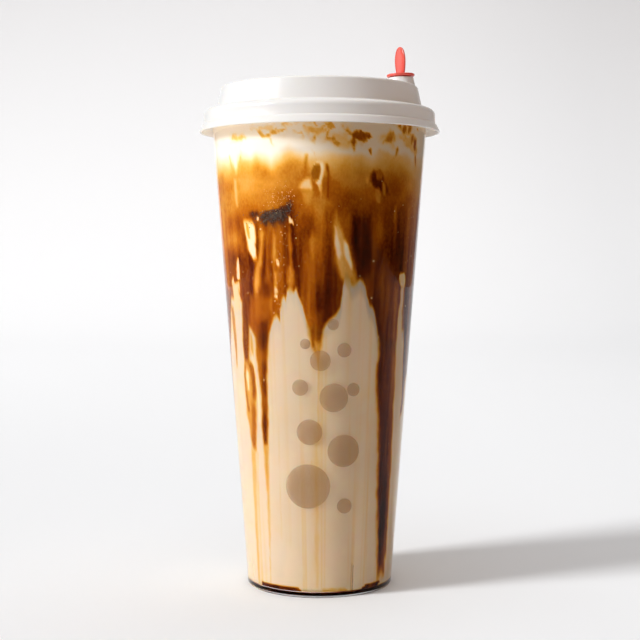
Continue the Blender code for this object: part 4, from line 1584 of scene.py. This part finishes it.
def loft_tab(levels=26, around=32):
    """The upright paddle, as a closed stack of superellipses."""
    bm = bmesh.new()
    rings = []
    foot = DISC_THICKNESS / 2
    for level in range(levels):
        share = math.sin(level / levels * math.pi / 2)
        half = tab_half_width(share)
        thick = TAB_THICKNESS / 2 * min(1.0, (half / TAB_RADIUS) ** 0.5 + 0.15)
        height = foot + share * (DISC_THICKNESS / 2 + TAB_HEIGHT)
        ring = []
        for i in range(around):
            a = math.tau * i / around
            place = squared(math.cos(a)) * half, squared(math.sin(a)) * thick, height
            ring.append(bm.verts.new(place))
        rings.append(ring)
    for low_ring, high_ring in zip(rings, rings[1:]):
        for i in range(around):
            j = (i + 1) % around
            bm.faces.new((low_ring[i], low_ring[j], high_ring[j], high_ring[i]))
    bm.faces.new(rings[0])
    tip = bm.verts.new((0.0, 0.0, DISC_THICKNESS + TAB_HEIGHT))
    for i in range(around):
        bm.faces.new((rings[-1][i], rings[-1][(i + 1) % around], tip))
    return solid_from("tab", bm, red_finish)


tab = loft_tab()
tab.data.transform(Matrix.Rotation(TAB_TURN, 4, "Z"))
fuse(red_stopper, tab)
red_stopper.data.transform(stopper_place)
smooth(red_stopper, 40)


# %% [markdown]
# ## Floor, backdrop and light
# The cup stands on a plain pale sweep of paper. One large lamp shines from the left and a
# little from the front, low enough to throw a long soft shadow to the right and back. The
# right side of the cup only gets the weak, warm light of the room, which is what gives the
# lid its beige shade there. The paper's colour is painted a little darker towards the
# right, as painted shade far from the lamp.

# %% Floor and backdrop
# painted shade: the paper's colour darkens towards the right, far from the lamp
PAPER_TONES = ((0.0, (0.905, 0.925, 0.945)), (1.0, (0.815, 0.838, 0.860)))
paper_finish, tree, shader = new_material("pale_paper", {"Roughness": 0.9, "Specular IOR Level": 0.1})
place = add(tree, "ShaderNodeTexCoord").outputs["Object"]
across = add(tree, "ShaderNodeSeparateXYZ", {"Vector": place}).outputs["X"]
far_right = calc(tree, "MULTIPLY_ADD", across, 2.4, -0.35)
uneven = calc(tree, "MULTIPLY_ADD", grain(tree, 6.0), 0.10, far_right)
tree.links.new(ramp(tree, uneven, PAPER_TONES), shader.inputs["Base Color"])

SWEEP_FRONT = -0.7
SWEEP_BACK = 2.2
SWEEP_ROUND = 0.8
SWEEP_TOP = 4.0
SWEEP_HALF = 0.9
sweep_line = [(SWEEP_FRONT, 0.0)]
sweep_line += arc((SWEEP_BACK - SWEEP_ROUND, SWEEP_ROUND), SWEEP_ROUND, 270, 360, 16)
sweep_line += [(SWEEP_BACK, SWEEP_TOP)]
sweep_mesh = bpy.data.meshes.new("sweep")
sweep_mesh.from_pydata(
    [(side, y, z) for y, z in sweep_line for side in (-SWEEP_HALF, SWEEP_HALF)],
    [],
    [(2 * i, 2 * i + 1, 2 * i + 3, 2 * i + 2) for i in range(len(sweep_line) - 1)],
)
sweep_mesh.materials.append(paper_finish)
sweep_mesh.shade_smooth()
sweep = put_in_scene("sweep", sweep_mesh)
print(f"paper: {2 * SWEEP_HALF} m wide, {SWEEP_TOP} m high")


# %% Lamps
KEY_TURN_DEG = -68
KEY_LIFT_DEG = 30
KEY_WIDTH_DEG = 13
KEY_STRENGTH = 0.83 * math.pi
COOL = (0.96, 0.99, 1.03)
WARM = (1.02, 0.99, 0.96)
NEUTRAL = (1.0, 1.0, 1.0)


def lamp_way(turn_deg, lift_deg):
    """Direction from the cup to a lamp. The turn is from the front towards +X."""
    turn, lift = math.radians(turn_deg), math.radians(lift_deg)
    flat = math.cos(lift)
    return Vector((math.sin(turn) * flat, -math.cos(turn) * flat, math.sin(lift)))


def turn_to(thing, way):
    """Turns a lamp so that it shines against a direction."""
    thing.rotation_euler = way.to_track_quat("Z", "Y").to_euler()


key = put_in_scene("key", bpy.data.lights.new("key", "SUN"))
key.data.energy = KEY_STRENGTH
key.data.angle = math.radians(KEY_WIDTH_DEG)
turn_to(key, lamp_way(KEY_TURN_DEG, KEY_LIFT_DEG))

# Each square lamp: name, place and aim and width in metres, power in watts, colour.
LAMPS = (
    ("above", lamp_way(-30, 76) * 3.0, (0.0, 0.0, 0.1), 2.6, 23.0, COOL),
    ("behind", lamp_way(140, 66) * 2.4, (0.15, 0.05, 0.0), 1.4, 7.0, WARM),
    ("backdrop", (-1.2, 0.7, 0.6), (0.2, 2.2, 0.8), 0.6, 3.0, NEUTRAL),
)
for name, place, aim, width, power, colour in LAMPS:
    lamp = put_in_scene(name, bpy.data.lights.new(name, "AREA"))
    lamp.data.color = colour
    lamp.data.shape = "SQUARE"
    lamp.data.size = width
    lamp.data.energy = power
    lamp.location = place
    turn_to(lamp, Vector(place) - Vector(aim))
print(f"key lamp and {len(LAMPS)} square lamps")

# %% Light of the room
ROOM_RIGHT = (0.85, -0.5, 0.0)
ROOM_TONES = (
    (0.30, (0.24, 0.24, 0.245)),
    (0.62, (0.25, 0.245, 0.235)),
    (0.78, (0.19, 0.115, 0.055)),
    (0.92, (0.18, 0.062, 0.010)),
)
world = bpy.data.worlds.new("room")
scene.world = world
world.use_nodes = True
tree = world.node_tree
direction = add(tree, "ShaderNodeTexCoord").outputs["Generated"]
right = add(tree, "ShaderNodeVectorMath", {0: direction, 1: ROOM_RIGHT}, operation="DOT_PRODUCT")
share = calc(tree, "MULTIPLY_ADD", right.outputs["Value"], 0.5, 0.5)
tree.links.new(ramp(tree, share, ROOM_TONES), tree.nodes["Background"].inputs["Color"])
print(f"room: {len(ROOM_TONES)} tones from left to right")


# %% [markdown]
# ## Handing over
# Nothing moves on this object, so all pieces ride on the one body. Each row names the
# solid of the frame that a piece stands for, which is then hidden, and a finish of the
# record, which this script doesn't apply.

# %% Tie the pieces to the frame
HAND_OVER = (
    (clear_cup, "cup", "clear_plastic"),
    (milk_tea, "milk_tea", "milk_tea"),
    (milk_foam, "milk_foam", "milk_foam"),
    (white_lid, "lid", "white_plastic"),
    (red_stopper, "stopper", "red_plastic"),
    (wall_bubbles, None, "milk_foam"),
    (sugar_grains, None, "milk_tea"),
    (printed_dots, None, "printed_ink"),
)
for piece, node, slot in HAND_OVER:
    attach(piece, "root")
    if node:
        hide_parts(node)
